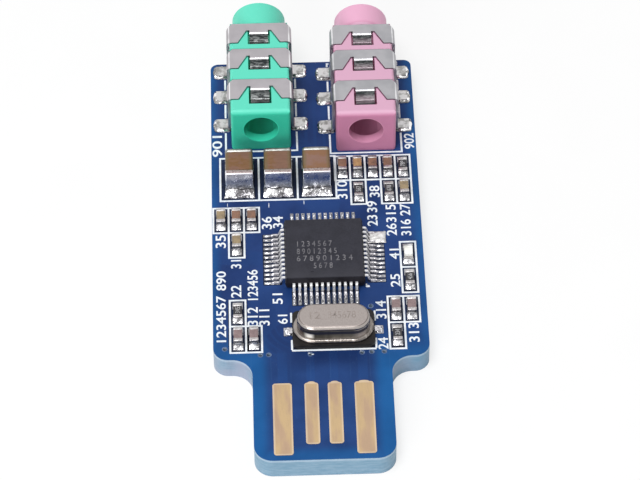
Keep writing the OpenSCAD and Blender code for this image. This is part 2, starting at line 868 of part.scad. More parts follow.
module wedges_for(w, l, reach, h) {
    for (side = [0, 180])
        rotate(side)
        translate([0, l / 2, 0])
        solder_wedge(w, reach, h);
}

module part_pads() {
    color("silver")
    on_board()
    union() {
        for (place = small_places)
            translate(place) pads_for(small_w + 0.1, small_l, small_band, pad_tail);
        for (place = large_places)
            translate(place) pads_for(large_w + 0.1, large_l, large_band, large_tail);
        translate(crystal_at)
        for (side = [-1, 1])
            translate([side * (crystal_base_size.x / 2 + 0.2), 0])
            block([crystal_lead_reach + 0.6, crystal_lead_w + 0.3, copper_t]);
    }
}

module part_solder() {
    color("whitesmoke")
    on_board(copper_t)
    union() {
        for (place = capacitor_places)
            translate(place) wedges_for(small_w, small_l, pad_tail - 0.04, capacitor_h * 0.6);
        for (place = resistor_places)
            translate(place) wedges_for(small_w, small_l, pad_tail - 0.04, resistor_h * 0.7);
        translate(led_place) wedges_for(small_w, small_l, pad_tail - 0.04, led_base_h * 0.8);
        for (place = large_places)
            translate(place) wedges_for(large_w, large_l, large_tail - 0.05, large_h * 0.45);
    }
}

// Draws its child at every foot of a jack's contacts, with x pointing out of the jack
module at_jack_feet(place) {
    for (n = [0:2], side = [0, 180])
        translate([place.x, place.y + contact_y[n] + foot_shift[n], 0])
        rotate(side)
        translate([leg_x - sheet_t / 2, 0, 0])
        children();
}

module jack_pads() {
    color("silver")
    on_board()
    for (place = jack_at)
        at_jack_feet(place)
        linear_extrude(copper_t)
        translate([(foot_out + sheet_t / 2 + pad_margin) / 2, 0])
        round_rectangle([foot_out + sheet_t / 2 + pad_margin, leg_w + 2 * pad_margin], 0.3);
}

module jack_solder() {
    color("whitesmoke")
    on_board(copper_t)
    for (place = jack_at)
        at_jack_feet(place)
        translate([foot_out + sheet_t / 2, 0, 0])
        rotate(-90)
        solder_wedge(leg_w, pad_margin - 0.02, sheet_t);
}

// A rectangular print frame, given by the centres of its lines
module frame_lines(size) {
    difference() {
        square([size.x + line_w, size.y + line_w], center = true);
        square([size.x - line_w, size.y - line_w], center = true);
    }
}

// The frame around a jack, open between its feet and their pads
module jack_frame(place) {
    frame_w = 2 * leg_x + sheet_t + 2 * jack_frame_room;
    front = place.y - jack_frame_setback;
    back = board_l - jack_frame_setback;
    difference() {
        translate([place.x, (front + back) / 2]) frame_lines([frame_w, back - front]);
        translate([place.x - frame_w / 2 + line_w, front + line_w]) square([frame_w - 2 * line_w, body_l]);
        for (n = [0:2])
            translate([place.x, place.y + contact_y[n] + foot_shift[n]])
            square([3 * jack_w, leg_w + 2 * pad_margin + jack_frame_setback], center = true);
    }
}

// The crystal's frame is open at the far side and for its leads
module crystal_frame() {
    half = crystal_base_size / 2;
    translate([0, -half.y - 0.1]) square([2 * half.x + 0.15, line_w], center = true);
    for (side = [-1, 1], y = [0.525 - half.y, half.y - 0.375])
        translate([side * (half.x + 0.075), y]) square([line_w, 1.1], center = true);
}

// The fields of the chip's pads, which the print keeps clear of
module pad_fields() {
    field_w = leads_per_side * lead_pitch;
    for (side = [0:3])
        rotate(90 * side)
        translate([chip_w / 2, -field_w / 2])
        square([chip_reach - chip_w / 2 + 0.05, field_w]);
}

module print_lines() {
    color("white")
    on_board()
    linear_extrude(print_t)
    difference() {
        union() {
            for (place = small_places)
                translate(place) frame_lines([small_pitch, frame_l]);
            for (place = large_places)
                translate(place) frame_lines(large_frame);
            for (place = jack_at)
                jack_frame(place);
            translate(crystal_at) crystal_frame();
        }
        translate(chip_at) pad_fields();
    }
}

circuit_board();
usb_contact_1();
usb_contact_2();
usb_contact_3();
usb_contact_4();
chip_body();
chip_leads();
chip_pads();
crystal_can();
crystal_base();
crystal_leads();
for (n = [0:2])
    large_capacitor(n);
large_capacitor_ends();
for (n = [0:12])
    capacitor(n);
capacitor_ends();
for (n = [0:5])
    resistor(n);
resistor_ends();
led_base();
led_lens();
led_ends();
color("aquamarine") jack_housing(jack_at[0]);  // speaker_jack_housing
color("pink") jack_housing(jack_at[1]);  // microphone_jack_housing
for (n = [0:2]) {
    jack_contact(jack_at[0], n);
    jack_contact(jack_at[1], n);
}
part_pads();
part_solder();
jack_pads();
jack_solder();
print_lines();
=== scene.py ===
# %% [markdown]
# # A USB sound card, dressed
#
# The object is a bare circuit board that is its own USB plug. It carries a sound chip, a crystal, rows
# of tiny chip parts and two audio jacks, green for a speaker and pink for a microphone. Its solids come
# from the CAD model, which is loaded here as a fixed frame. This lesson gives them their finishes and
# adds what is too fine or too soft for the solids: solder, printed numbers, rounded mouldings and
# marks.
#
# Loading comes first, because every later cell asks the frame where things are.

# %% Load the solids
import math

import bmesh
import bpy
from mathutils import Matrix, Vector, noise


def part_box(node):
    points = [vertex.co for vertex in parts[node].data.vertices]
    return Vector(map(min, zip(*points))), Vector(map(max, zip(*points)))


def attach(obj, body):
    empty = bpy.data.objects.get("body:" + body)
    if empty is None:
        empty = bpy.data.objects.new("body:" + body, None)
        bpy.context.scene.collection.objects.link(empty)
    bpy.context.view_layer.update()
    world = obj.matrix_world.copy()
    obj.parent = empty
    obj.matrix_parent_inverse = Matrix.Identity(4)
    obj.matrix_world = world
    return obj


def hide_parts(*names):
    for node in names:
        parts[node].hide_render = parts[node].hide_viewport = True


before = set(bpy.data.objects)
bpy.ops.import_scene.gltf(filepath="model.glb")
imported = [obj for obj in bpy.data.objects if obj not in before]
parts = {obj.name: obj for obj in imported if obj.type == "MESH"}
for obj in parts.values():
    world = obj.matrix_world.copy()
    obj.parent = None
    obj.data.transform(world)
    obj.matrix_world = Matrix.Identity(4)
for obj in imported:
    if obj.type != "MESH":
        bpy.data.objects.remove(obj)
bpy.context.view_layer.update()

MM = 0.001
board_low, board_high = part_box("circuit_board")
board_top = board_high.z
print("solids:", len(parts), "board top at", round(board_top / MM, 2), "mm")

# %% [markdown]
# ## Where things are
#
# The places were measured on the board with the tongue's root as the zero of Y, the board's own middle
# as the zero of X and its top face as the zero of Z. The frame's own zero is under the middle of the
# whole card. One small function goes from the first to the second, so that every number below can be
# read off the board with a ruler, in millimetres.

# %% Board places
SHIFT_X, ROOT_Y = 0.12, 24.7  # the frame's zero as a place on the board, in millimetres


def on_card(x, y, z=0.0):
    """A place measured on the board in millimetres, as a point of the frame in metres."""
    return Vector(((x - SHIFT_X) * MM, (y - ROOT_Y) * MM, board_top + z * MM))


print("tongue's root:", on_card(0, 0))

# %% [markdown]
# ## The camera
#
# The picture was taken from far away with a long lens, so the card shows hardly any perspective. Eight
# corners of the board gave the camera: how high it looks down, its small turn and roll, its distance
# and its focal length in pixels of the picture. Blender wants a matrix with the camera's right, up and
# back directions as columns, so those three are worked out from the angles.

# %% Camera
PHOTO_WIDTH, SENSOR_WIDTH = 640, 36  # in pixels and in millimetres


def photo_camera(turn, height, roll, distance, focal, aim):
    """A camera at an angle round and above the card, in degrees; lengths in millimetres."""
    az, el, ro = (math.radians(a) for a in (turn, height, roll))
    back = Vector((math.sin(az) * math.cos(el), -math.cos(az) * math.cos(el), math.sin(el)))
    right = Vector((math.cos(az), math.sin(az), 0))
    up = back.cross(right)
    right, up = (right * math.cos(ro) + up * math.sin(ro), up * math.cos(ro) - right * math.sin(ro))
    place = on_card(*aim) + back * distance * MM
    data = bpy.data.cameras.new("camera")
    data.sensor_width = SENSOR_WIDTH
    data.lens = focal / PHOTO_WIDTH * SENSOR_WIDTH
    data.clip_start, data.clip_end = 0.01, 20
    camera = bpy.data.objects.new("camera", data)
    turned = Matrix((right, up, back)).transposed().to_4x4()
    camera.matrix_world = Matrix.Translation(place) @ turned
    bpy.context.scene.collection.objects.link(camera)
    return camera


camera = photo_camera(turn=-1.27638185, height=49.1355003, roll=-0.585215509, distance=270.563864,
                      focal=3043.03673, aim=(0.356396466, 24.2690188, 0.0))
bpy.context.scene.camera = camera
print("lens", round(camera.data.lens, 2), "mm at", [round(v, 4) for v in camera.location])

# %% [markdown]
# ## Writing a finish as sums
#
# A finish is a net of shader nodes. Most of the net is plain arithmetic: one mask minus another, a
# noise times a strength. Clicking or coding such nodes one by one hides the idea, so a small class
# wraps a node's output and lets Python's own signs add the Math nodes. Every other node comes from one
# method.

# %% Sums on sockets
class Wire:
    """One output of a node. Sums written with it become Math nodes."""

    def __init__(self, net, socket):
        self.net, self.socket = net, socket

    def sum(self, kind, *terms):
        return self.net.node("ShaderNodeMath", {"operation": kind}, *terms)

    def __add__(self, other): return self.sum("ADD", self, other)
    def __sub__(self, other): return self.sum("SUBTRACT", self, other)
    def __mul__(self, other): return self.sum("MULTIPLY", self, other)
    def __pow__(self, other): return self.sum("POWER", self, other)
    def __mod__(self, other): return self.sum("FLOORED_MODULO", self, other)
    def __gt__(self, other): return self.sum("GREATER_THAN", self, other)
    def __lt__(self, other): return self.sum("LESS_THAN", self, other)
    def __and__(self, other): return self.sum("MINIMUM", self, other)
    def __or__(self, other): return self.sum("MAXIMUM", self, other)
    def __abs__(self): return self.sum("ABSOLUTE", self)
    def __rsub__(self, other): return self.sum("SUBTRACT", other, self)
    __radd__, __rmul__ = __add__, __mul__


class Net:
    """The net of shader nodes of a material or a world."""

    def __init__(self, owner):
        owner.use_nodes = True
        self.tree = owner.node_tree
        self.tree.nodes.clear()

    def node(self, kind, settings=None, *inputs, out=0, **named):
        """Adds a node: its type, its settings, its inputs in order or by name, the output wanted."""
        new = self.tree.nodes.new(kind)
        for name, value in (settings or {}).items():
            setattr(new, name, value)
        ready = [s for s in new.inputs if s.enabled]
        pairs = list(zip(ready, inputs))
        for name, value in named.items():
            pairs.append((next(s for s in ready if s.name == name.replace("_", " ")), value))
        for socket, value in pairs:
            if isinstance(value, Wire):
                self.tree.links.new(value.socket, socket)
            elif socket.type == "RGBA":
                socket.default_value = tuple(value)[:3] + (1.0,)
            else:
                socket.default_value = value
        if isinstance(out, str):
            return Wire(self, new.outputs[out])
        return Wire(self, next((s for s in new.outputs if s.enabled), None))


print("nets can be written as sums")

# %% [markdown]
# Every finish on the card asks the same few questions: where is this point, how grainy is it here, how
# far is it from an edge? A second class answers them. It reads the place from Object coordinates,
# because every object here sits at the frame's zero, so that its own coordinates are the frame's.

# %% Finishes
class Finish(Net):
    """A material whose net is being built. All its places are in millimetres."""

    def __init__(self, name):
        self.material = bpy.data.materials.new(name)
        super().__init__(self.material)
        metres = self.node("ShaderNodeTexCoord", out="Object")
        self.place = self.node("ShaderNodeVectorMath", {"operation": "SCALE"}, metres, Scale=1 / MM)
        self.x, self.y, self.z = (
            self.node("ShaderNodeSeparateXYZ", {}, self.place, out=axis) for axis in "XYZ")

    @property
    def across(self):
        """The place across the board, from its own middle."""
        return self.x + SHIFT_X

    @property
    def along(self):
        """The place along the board, from the tongue's root."""
        return self.y + ROOT_Y

    @property
    def above(self):
        """The height over the board's top face."""
        return self.z - board_top / MM

    def noise(self, size, detail=2.0, rough=0.5, place=None):
        """Noise whose grains are about size millimetres wide, from 0 to 1."""
        return self.node("ShaderNodeTexNoise", {}, place or self.place, out="Fac",
                         Scale=1.0 / size, Detail=detail, Roughness=rough)

    def ramp(self, wire, low, high, first=0.0, last=1.0):
        """Goes smoothly from first to last while the wire goes from low to high, and stays there."""
        return self.node("ShaderNodeMapRange", {"interpolation_type": "SMOOTHSTEP"}, wire,
                         From_Min=low, From_Max=high, To_Min=first, To_Max=last)

    def mix(self, factor, first, second, kind="MIX"):
        """One colour into another."""
        return self.node("ShaderNodeMix", {"data_type": "RGBA", "blend_type": kind},
                         factor, first, second, out="Result")

    def within(self, wire, low, high, soft=0.1):
        """1 while the wire lies between low and high, fading to 0 over soft on both sides."""
        fall = self.ramp(wire, high - soft, high + soft, 1.0, 0.0)
        return self.ramp(wire, low - soft, low + soft) * fall

    def scaled(self, x, y, z):
        """The place stretched or squeezed along its axes, for grain that has a direction."""
        return self.node("ShaderNodeVectorMath", {"operation": "MULTIPLY"}, self.place, (x, y, z))

    def bump(self, height, strength, reach=0.02):
        """A normal bent by a height; reach is the height's own size in millimetres."""
        return self.node("ShaderNodeBump", {}, Height=height, Strength=strength, Distance=reach * MM)

    def done(self, **sockets):
        """Ends the net with one surface shader and gives the material."""
        shader = self.node("ShaderNodeBsdfPrincipled", {}, **sockets)
        self.node("ShaderNodeOutputMaterial", {}, Surface=shader)
        return self.material


print("finishes can be written")

# %% [markdown]
# ## The studio
#
# The card lies on a white table in even light, and hardly any shadow is left around it. A wide soft
# lamp above the card, a little to the front left, lights the tops. A weaker one from the front left
# fills the faces that look at the camera, and a pale world lights the rest. The world is plain white
# where the camera or a shiny surface looks at it, so metal shows the same white room, and dimmer as a
# light.

# %% Floor, world and lamps
def soft_lamp(name, place, size, power, aim=(0.0, 0.0, 0.0)):
    """A square lamp turned to the card, soft because of its size. Place and size are in metres."""
    data = bpy.data.lights.new(name, "AREA")
    data.shape, data.size, data.energy = "SQUARE", size, power
    lamp = bpy.data.objects.new(name, data)
    lamp.location = place
    lamp.rotation_euler = (Vector(place) - Vector(aim)).to_track_quat("Z", "Y").to_euler()
    bpy.context.scene.collection.objects.link(lamp)
    return lamp


def pale_floor(half=2.0):
    """A white table under the card, a little darker in the card's shadow."""
    mesh = bpy.data.meshes.new("floor")
    bm = bmesh.new()
    bmesh.ops.create_grid(bm, x_segments=2, y_segments=2, size=half)
    bm.to_mesh(mesh)
    bm.free()
    floor = bpy.data.objects.new("floor", mesh)
    bpy.context.scene.collection.objects.link(floor)
    finish = Finish("table_white")
    tone = finish.ramp(finish.noise(9.0), 0.3, 0.7, 0.80, 0.82)
    paint = finish.node("ShaderNodeBsdfDiffuse", {}, finish.mix(tone, (0, 0, 0), (1, 1, 1)))
    glow = finish.node("ShaderNodeEmission", {}, (1.0, 1.0, 1.0))
    seen = finish.node("ShaderNodeLightPath", out="Is Camera Ray")
    share = finish.node("ShaderNodeMixShader", {}, seen * 0.72, paint, glow)
    finish.node("ShaderNodeOutputMaterial", {}, Surface=share)
    mesh.materials.append(finish.material)
    return floor


def white_room(light):
    """A world that looks white and lights at the given level."""
    world = bpy.data.worlds.new("white_room")
    bpy.context.scene.world = world
    net = Net(world)
    camera_ray, glossy_ray, through_ray = (
        net.node("ShaderNodeLightPath", out=ray)
        for ray in ("Is Camera Ray", "Is Glossy Ray", "Is Transmission Ray"))
    level = net.node("ShaderNodeMapRange", {}, camera_ray | glossy_ray | through_ray,
                     To_Min=light, To_Max=1.0)
    glow = net.node("ShaderNodeBackground", {}, Color=(1.0, 1.0, 1.0), Strength=level)
    net.node("ShaderNodeOutputWorld", {}, Surface=glow)


pale_floor()
white_room(0.45)
soft_lamp("lamp_above", (-0.10, -0.10, 0.50), 0.24, 1.9)
soft_lamp("lamp_front", (-0.22, -0.46, 0.22), 0.25, 1.25)
bpy.context.scene.view_settings.view_transform = "Standard"
print("studio: floor, world and two lamps")

# %% [markdown]
# ## The board
#
# The real board is glass fibre with a blue lacquer over its copper. The lacquer is bright blue on the
# tongue and along the rim and deeper between the parts. Its cut edge shows the pale laminate. All of
# this is one finish: masks made from the place on the board choose between a few blues, and fine noise
# keeps each one from being flat. The lacquer's gloss is low, with small waves. The dark windows inside
# the printed frames, partly openings in the lacquer and partly painted shade, are pieces of their own,
# made further down.

# %% Board finish
def board_finish():
    """Blue lacquer on both faces and pale laminate on the cut edges."""
    f = Finish("blue_lacquer")
    across, along = f.across, f.along
    wide = f.noise(3.2, 3.0)
    fine = f.noise(0.16, 3.0, 0.6)
    deep = f.mix(f.ramp(wide, 0.3, 0.7), (0.008, 0.027, 0.112), (0.015, 0.043, 0.162))
    bright = f.mix(f.ramp(wide, 0.3, 0.7), (0.006, 0.074, 0.235), (0.009, 0.092, 0.280))

    # the tongue is brightest at its sides and in front of the contacts, with darker copper in between
    rim = f.ramp(abs(across), 3.9, 5.6) | f.ramp(along, 1.9, 0.4, 0.0, 0.7)
    tongue = f.ramp(along, 9.5, 15.5, 1.0, 0.0) * f.ramp(rim, 0.0, 1.0, 0.12, 1.0)
    lacquer = f.mix(tongue | f.ramp(abs(across), 8.2, 9.3, 0.0, 0.75), deep, bright)

    # copper tracks lie under the lacquer: four run back from the contacts, others curve past the can
    tracks = 0.0
    for middle, half in ((-3.3, 0.42), (-0.9, 0.36), (1.1, 0.36), (3.6, 0.42)):
        track = f.within(across, middle - half, middle + half, 0.04)
        tracks = track * f.within(along, 8.4, 11.6, 0.3) | tracks
    ring = ((across + 1.2) ** 2.0 + (along - 15.0) ** 2.0) ** 0.5
    arcs = f.within(ring % 0.62, 0.10, 0.30, 0.05) * f.within(ring, 2.6, 5.2, 0.1)
    arcs = arcs * f.within(across, -5.2, -2.5, 0.2) * f.within(along, 10.4, 16.8, 0.5)
    strips = f.within(across % 0.83, 0.12, 0.42, 0.04) * f.within(along, 34.8, 46.0, 0.4)
    strips = strips * f.ramp(f.noise(1.9, 1.0, 0.5, f.scaled(1, 0.25, 1)), 0.48, 0.56)
    pour = f.ramp(f.noise(3.4, 1.0, 0.5, f.scaled(1, 0.6, 1)), 0.515, 0.535) * (along > 12.0)
    tracks = tracks | arcs * 0.55 | strips * 0.5 | pour * 0.55
    lacquer = f.mix(tracks * 0.45, lacquer, (0.012, 0.055, 0.20))
    seams = f.within(across % 1.7, 0.80, 0.84, 0.02) * f.within(along, 8.6, 11.5, 0.3)
    lacquer = f.mix(seams * 0.14, lacquer, (0.06, 0.16, 0.34))

    # the crystal shades the lacquer in front of it
    shade = f.within(across, -3.2, 4.2, 1.2) * f.within(along, 10.0, 12.4, 1.0)
    lacquer = f.mix(shade * 0.6, lacquer, (0.003, 0.012, 0.062))
    dust = f.ramp(fine, 0.60, 0.80, 0.0, 0.22)
    lacquer = f.mix(dust, lacquer, (0.07, 0.14, 0.26))

    # glass cloth shows on the cut edge as pale layers, milky at the corners and greener on the sides
    layers = f.noise(0.34, 3.0, 0.6, f.scaled(0.35, 0.35, 2.2))
    edge = f.mix(f.ramp(layers, 0.25, 0.75), (0.16, 0.29, 0.40), (0.255, 0.385, 0.495))
    milky = f.within(along, 7.5, 13.5, 1.2) * f.ramp(wide, 0.35, 0.6, 0.3, 1.0)
    edge = f.mix(milky * 0.7, edge, (0.36, 0.37, 0.47))
    edge = f.mix(f.ramp(across, 6.0, 9.0, 0.0, 0.45), edge, (0.05, 0.24, 0.38))
    edge = f.mix(f.within(f.above, -0.28, -0.06, 0.05) * 0.55, edge, (0.46, 0.57, 0.68))
    cut = (f.above < -0.02) & (f.z > 0.02)
    colour = f.mix(cut, lacquer, edge)
    waves = f.noise(0.7, 3.0) * 0.5 + fine * 0.3 + tracks * 0.5
    return f.done(Base_Color=colour, Roughness=f.ramp(wide, 0.2, 0.8, 0.34, 0.46),
                  Specular_IOR_Level=0.14, Normal=f.bump(waves, 0.35, 0.03))


blue_lacquer = board_finish()
print("board:", blue_lacquer.name)

# %% [markdown]
# ## Plain metals, ceramics and mouldings
#
# Each of these takes a base colour, a little variation in it, a roughness that changes over the surface
# and a fine bump. They differ only in numbers, so two helpers make them: one for metal and one for
# everything else.

# %% Plain finishes
def metal(name, dark, pale, rough, grain=0.25, bump=0.2, reach=0.01):
    """A metal between two tones with a grain of the given size."""
    f = Finish(name)
    spread = f.noise(grain, 3.0, 0.6)
    wide = f.noise(grain * 6, 2.0)
    tone = f.mix(f.ramp(spread * 0.5 + wide * 0.5, 0.35, 0.65), dark, pale)
    return f.done(Base_Color=tone, Metallic=1.0, Roughness=f.ramp(spread, 0.3, 0.7, *rough),
                  Normal=f.bump(spread, bump, reach))


def solid(name, dark, pale, rough, grain=0.2, bump=0.2, reach=0.01, gloss=0.5):
    """A plastic, a ceramic or a print between two tones."""
    f = Finish(name)
    spread = f.noise(grain, 4.0, 0.6)
    wide = f.noise(grain * 7, 2.0)
    tone = f.mix(f.ramp(spread * 0.5 + wide * 0.5, 0.35, 0.65), dark, pale)
    return f.done(Base_Color=tone, Roughness=f.ramp(wide, 0.3, 0.7, *rough),
                  Specular_IOR_Level=gloss, Normal=f.bump(spread, bump, reach))


print("helpers:", metal.__name__, solid.__name__)

# %% [markdown]
# ## Solder
#
# Solder freezes from its edges inwards. Its skin is a patchwork of mirror-bright swells and dull ones,
# with dark folds where two of them meet. Two noises give that: the band where they are nearly equal to
# one middle value is a thin winding line, which makes the folds.

# %% Solder finish
def solder_finish(name, swells, dull, shine, wall=None, grey_from=9.0):
    """Frozen solder: bright and dull swells of the given size in millimetres, parted by dark folds.

    A wall is the middle and the half length of the parts that it climbs; a painted dark line of shade,
    drawn like one more fold, follows it.
    Above grey_from, in millimetres over the board, the thin skin on a part's end is mostly dull.
    """
    f = Finish(name)
    swell = f.noise(swells, 1.0, 0.5, f.scaled(0.75, 1, 1))
    fine = f.noise(swells * 0.3, 2.0, 0.6)
    bright = f.ramp(swell * 0.7 + fine * 0.3, 0.42, 0.54)
    bright = bright * f.ramp(f.above, grey_from, grey_from + 0.14, 1.0, 0.25)
    tone = f.mix(bright, dull, shine)
    fold = f.ramp(abs(swell - 0.47 + (fine - 0.5) * 0.12), 0.0, 0.022)
    if wall:
        # painted shade: a dark line along the wall, drawn like one more fold
        reach = abs(f.y - wall[0]) - wall[1] + (f.noise(0.7, 1.0) - 0.5) * 0.30
        fold = fold & (1.0 - f.within(reach, 0.04, 0.12, 0.03))
    tone = f.mix(fold, (0.040, 0.040, 0.045), tone)
    return f.done(Base_Color=tone, Metallic=1.0, Roughness=f.ramp(fold, 0.0, 1.0, 0.38, 0.20),
                  Normal=f.bump(swell + fine * 0.35, 0.8, swells * 0.22))


print("helper:", solder_finish.__name__)

# %% [markdown]
# ## The large capacitors
#
# Three large capacitors stand in a row at the same pitch, so one sum gives how far any point is from
# the middle of its own capacitor: the remainder of a division by the pitch. The ceramic turns olive
# towards the sides with it, and the tinned ends get a painted highlight line down their corners.

# %% Large ceramic and its tin
def from_middle(f):
    """How far a point of a large capacitor is from the middle of its width, in millimetres."""
    low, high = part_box("large_capacitor_1")
    next_low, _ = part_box("large_capacitor_2")
    middle, pitch = (low.x + high.x) / 2 / MM, (next_low.x - low.x) / MM
    return abs((f.x - middle + pitch / 2) % pitch - pitch / 2)


def large_ceramic(name, orange, rose):
    """A large ceramic core: its colour drifts between orange and rose, with olive along its sides."""
    f = Finish(name)
    drift = f.noise(1.1, 2.0, 0.6)
    layers = f.noise(0.20, 2.0, 0.6, f.scaled(0.25, 1.5, 1))
    fine = f.noise(0.12, 2.0, 0.6)
    tone = f.mix(f.ramp(drift, 0.44, 0.56), orange, rose)
    tone = f.mix(f.ramp(layers, 0.45, 0.60) * 0.5, tone, (0.20, 0.10, 0.06))
    sides = f.ramp(from_middle(f) + (drift - 0.5) * 0.3, 0.80, 1.05)
    tone = f.mix(sides * 0.55, tone, (0.11, 0.088, 0.028))
    return f.done(Base_Color=tone, Roughness=f.ramp(fine, 0.3, 0.7, 0.36, 0.50),
                  Normal=f.bump(fine, 0.10, 0.01))


def tin_finish():
    """The tinned face of a large part: a smooth skin painted bluish as a reflection of the board, with
    painted glints and a painted highlight line down its rounded corners.
    """
    f = Finish("blue_tin")
    large_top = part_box("large_capacitor_ends")[1].z / MM
    above = f.above + (f.noise(1.0, 1.0) - 0.5) * 1.2
    fine = f.noise(0.28, 3.0, 0.6)
    # painted reflection: the face is bluish in its middle band, as if it mirrored the blue board, and
    # pale below and above it
    tone = f.mix(f.ramp(above, 0.7, 1.2), (0.71, 0.72, 0.76), (0.43, 0.445, 0.51))
    tone = f.mix(f.ramp(above, 1.5, 2.3), tone, (0.72, 0.72, 0.78))
    tone = f.mix(f.ramp(fine, 0.60, 0.72, 0.0, 0.20), tone, (0.22, 0.23, 0.30))
    # painted glints: white streaks standing for highlights
    glint = f.ramp(f.noise(0.45, 1.0, 0.5, f.scaled(0.7, 1, 2.0)), 0.63, 0.70)
    tone = f.mix(glint * 0.7, tone, (0.95, 0.95, 0.97))
    lid = f.ramp(f.z, large_top - 0.03, large_top - 0.01)
    rosy = f.mix(f.ramp(fine, 0.35, 0.65), (0.31, 0.245, 0.235), (0.45, 0.375, 0.365))
    tone = f.mix(lid, tone, rosy)
    # painted highlight: a pale line down each capacitor's rounded corners
    corner = f.within(from_middle(f), 1.15, 1.21, 0.03)
    tone = f.mix(corner * 0.8, tone, (0.95, 0.95, 0.96))
    return f.done(Base_Color=tone, Metallic=1.0, Roughness=f.ramp(fine, 0.3, 0.7, 0.24, 0.34),
                  Normal=f.bump(above + fine * 0.2, 0.25, 0.03))


print("helpers:", large_ceramic.__name__, tin_finish.__name__)

# %% [markdown]
# ## The jacks' clips and the USB contacts
#
# The clips are stamped from tinned sheet: satin on the roof, with painted shade and reflection where a
# spring dives into its window, painted pale reflections and highlights down the legs and bends, and
# mottled on the soldered feet. Height over the board tells these apart. The USB contacts are gold that
# sockets have rubbed, with a paler line just inside their outline.

# %% Clips and gold
JACK_X = 4.76  # from the middle of the card to each jack's axis, in millimetres


def clip_finish():
    """Stamped sheet: satin on top, with painted shade and reflection where it dives into the jack and
    painted bright reflections and highlights down its sides.
    """
    f = Finish("satin_clip")
    brushed = f.noise(0.10, 3.0, 0.6, f.scaled(1, 0.3, 1))
    wide = f.noise(1.6, 2.0)
    above = f.above
    tone = f.mix(f.ramp(wide, 0.3, 0.7), (0.37, 0.37, 0.39), (0.45, 0.445, 0.465))
    right = f.ramp(f.x, -0.5, 0.5)
    tone = f.mix((1.0 - right) * 0.35, tone, (0.50, 0.44, 0.465))

    # painted shade and reflection: the spring tongues are painted dark and streaked, as if they
    # mirrored the hollow below them, green on one jack and pink on the other
    inside = abs(abs(f.x) - 4.8) < 0.90
    reflection_streaks = f.ramp(f.noise(0.16, 2.0, 0.5, f.scaled(0.35, 0.8, 1.3)), 0.40, 0.62)
    reflection_streaks = reflection_streaks * f.ramp(above, 4.78, 4.35, 0.25, 1.0)
    slope = f.mix(reflection_streaks, (0.022, 0.026, 0.027), (0.25, 0.26, 0.26))
    slope = f.mix(right * 0.6 * f.ramp(above, 4.75, 4.35), slope, (0.27, 0.20, 0.23))
    tone = f.mix(inside * f.within(above, 4.16, 4.86, 0.03), tone, slope)
    # painted reflection: the legs are painted pale, standing for the white room that they mirror
    tone = f.mix(f.ramp(above, 2.4, 4.7, 0.8, 0.0), tone, (0.68, 0.675, 0.69))
    # painted highlight: a pale line along the outer bends at the top of the legs
    bend = f.within(abs(abs(f.x) - JACK_X), 2.72, 2.82, 0.04) * f.ramp(above, 4.3, 4.6)
    tone = f.mix(bend * f.ramp(wide, 0.3, 0.6, 0.4, 1.0), tone, (0.92, 0.92, 0.93))
    mottle = f.ramp(f.noise(0.55, 2.0), 0.38, 0.60)
    feet = f.mix(mottle, (0.32, 0.315, 0.305), (0.66, 0.65, 0.65))
    tone = f.mix(f.ramp(above, 0.45, 0.60, 1.0, 0.0), tone, feet)
    return f.done(Base_Color=tone, Metallic=1.0, Roughness=f.ramp(brushed, 0.3, 0.7, 0.30, 0.40),
                  Normal=f.bump(brushed, 0.12, 0.01))


def gold_finish():
    """Worn gold: pink and yellow drifts along each contact and a paler line just inside its outline."""
    f = Finish("worn_gold")
    drift = f.noise(0.8, 2.0, 0.5, f.scaled(1, 0.25, 1))
    rubbed = f.noise(0.10, 3.0, 0.6, f.scaled(1, 0.12, 1))
    tone = f.mix(f.ramp(drift, 0.38, 0.60), (0.465, 0.325, 0.22), (0.50, 0.365, 0.21))
    tone = f.mix(f.ramp(rubbed, 0.45, 0.75, 0.0, 0.30), tone, (0.36, 0.27, 0.18))
    inner = 0.0
    for n in range(1, 5):
        low, high = (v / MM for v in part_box("usb_contact_" + str(n)))
        inner = (f.within(f.x, low.x + 0.13, high.x - 0.13, 0.07)
                 * f.within(f.along, low.y + ROOT_Y + 0.13, 8.02, 0.07)) | inner
    tone = f.mix((1.0 - inner) * 0.7, tone, (0.62, 0.50, 0.37))
    return f.done(Base_Color=tone, Metallic=1.0, Roughness=f.ramp(drift, 0.3, 0.7, 0.42, 0.56),
                  Normal=f.bump(rubbed, 0.15, 0.01))


print("helpers:", clip_finish.__name__, gold_finish.__name__)

# %% [markdown]
# ## The jacks' plastic
#
# Both housings are moulded in glossy coloured plastic. Their paler tones are painted light: sheen on
# the roof and at the nozzle, and light falling into the round hole at the back. One helper takes the
# four tones of a housing.

# %% Plastic
HOLE_Z = 2.60  # the height of the jacks' round holes above the board, in millimetres


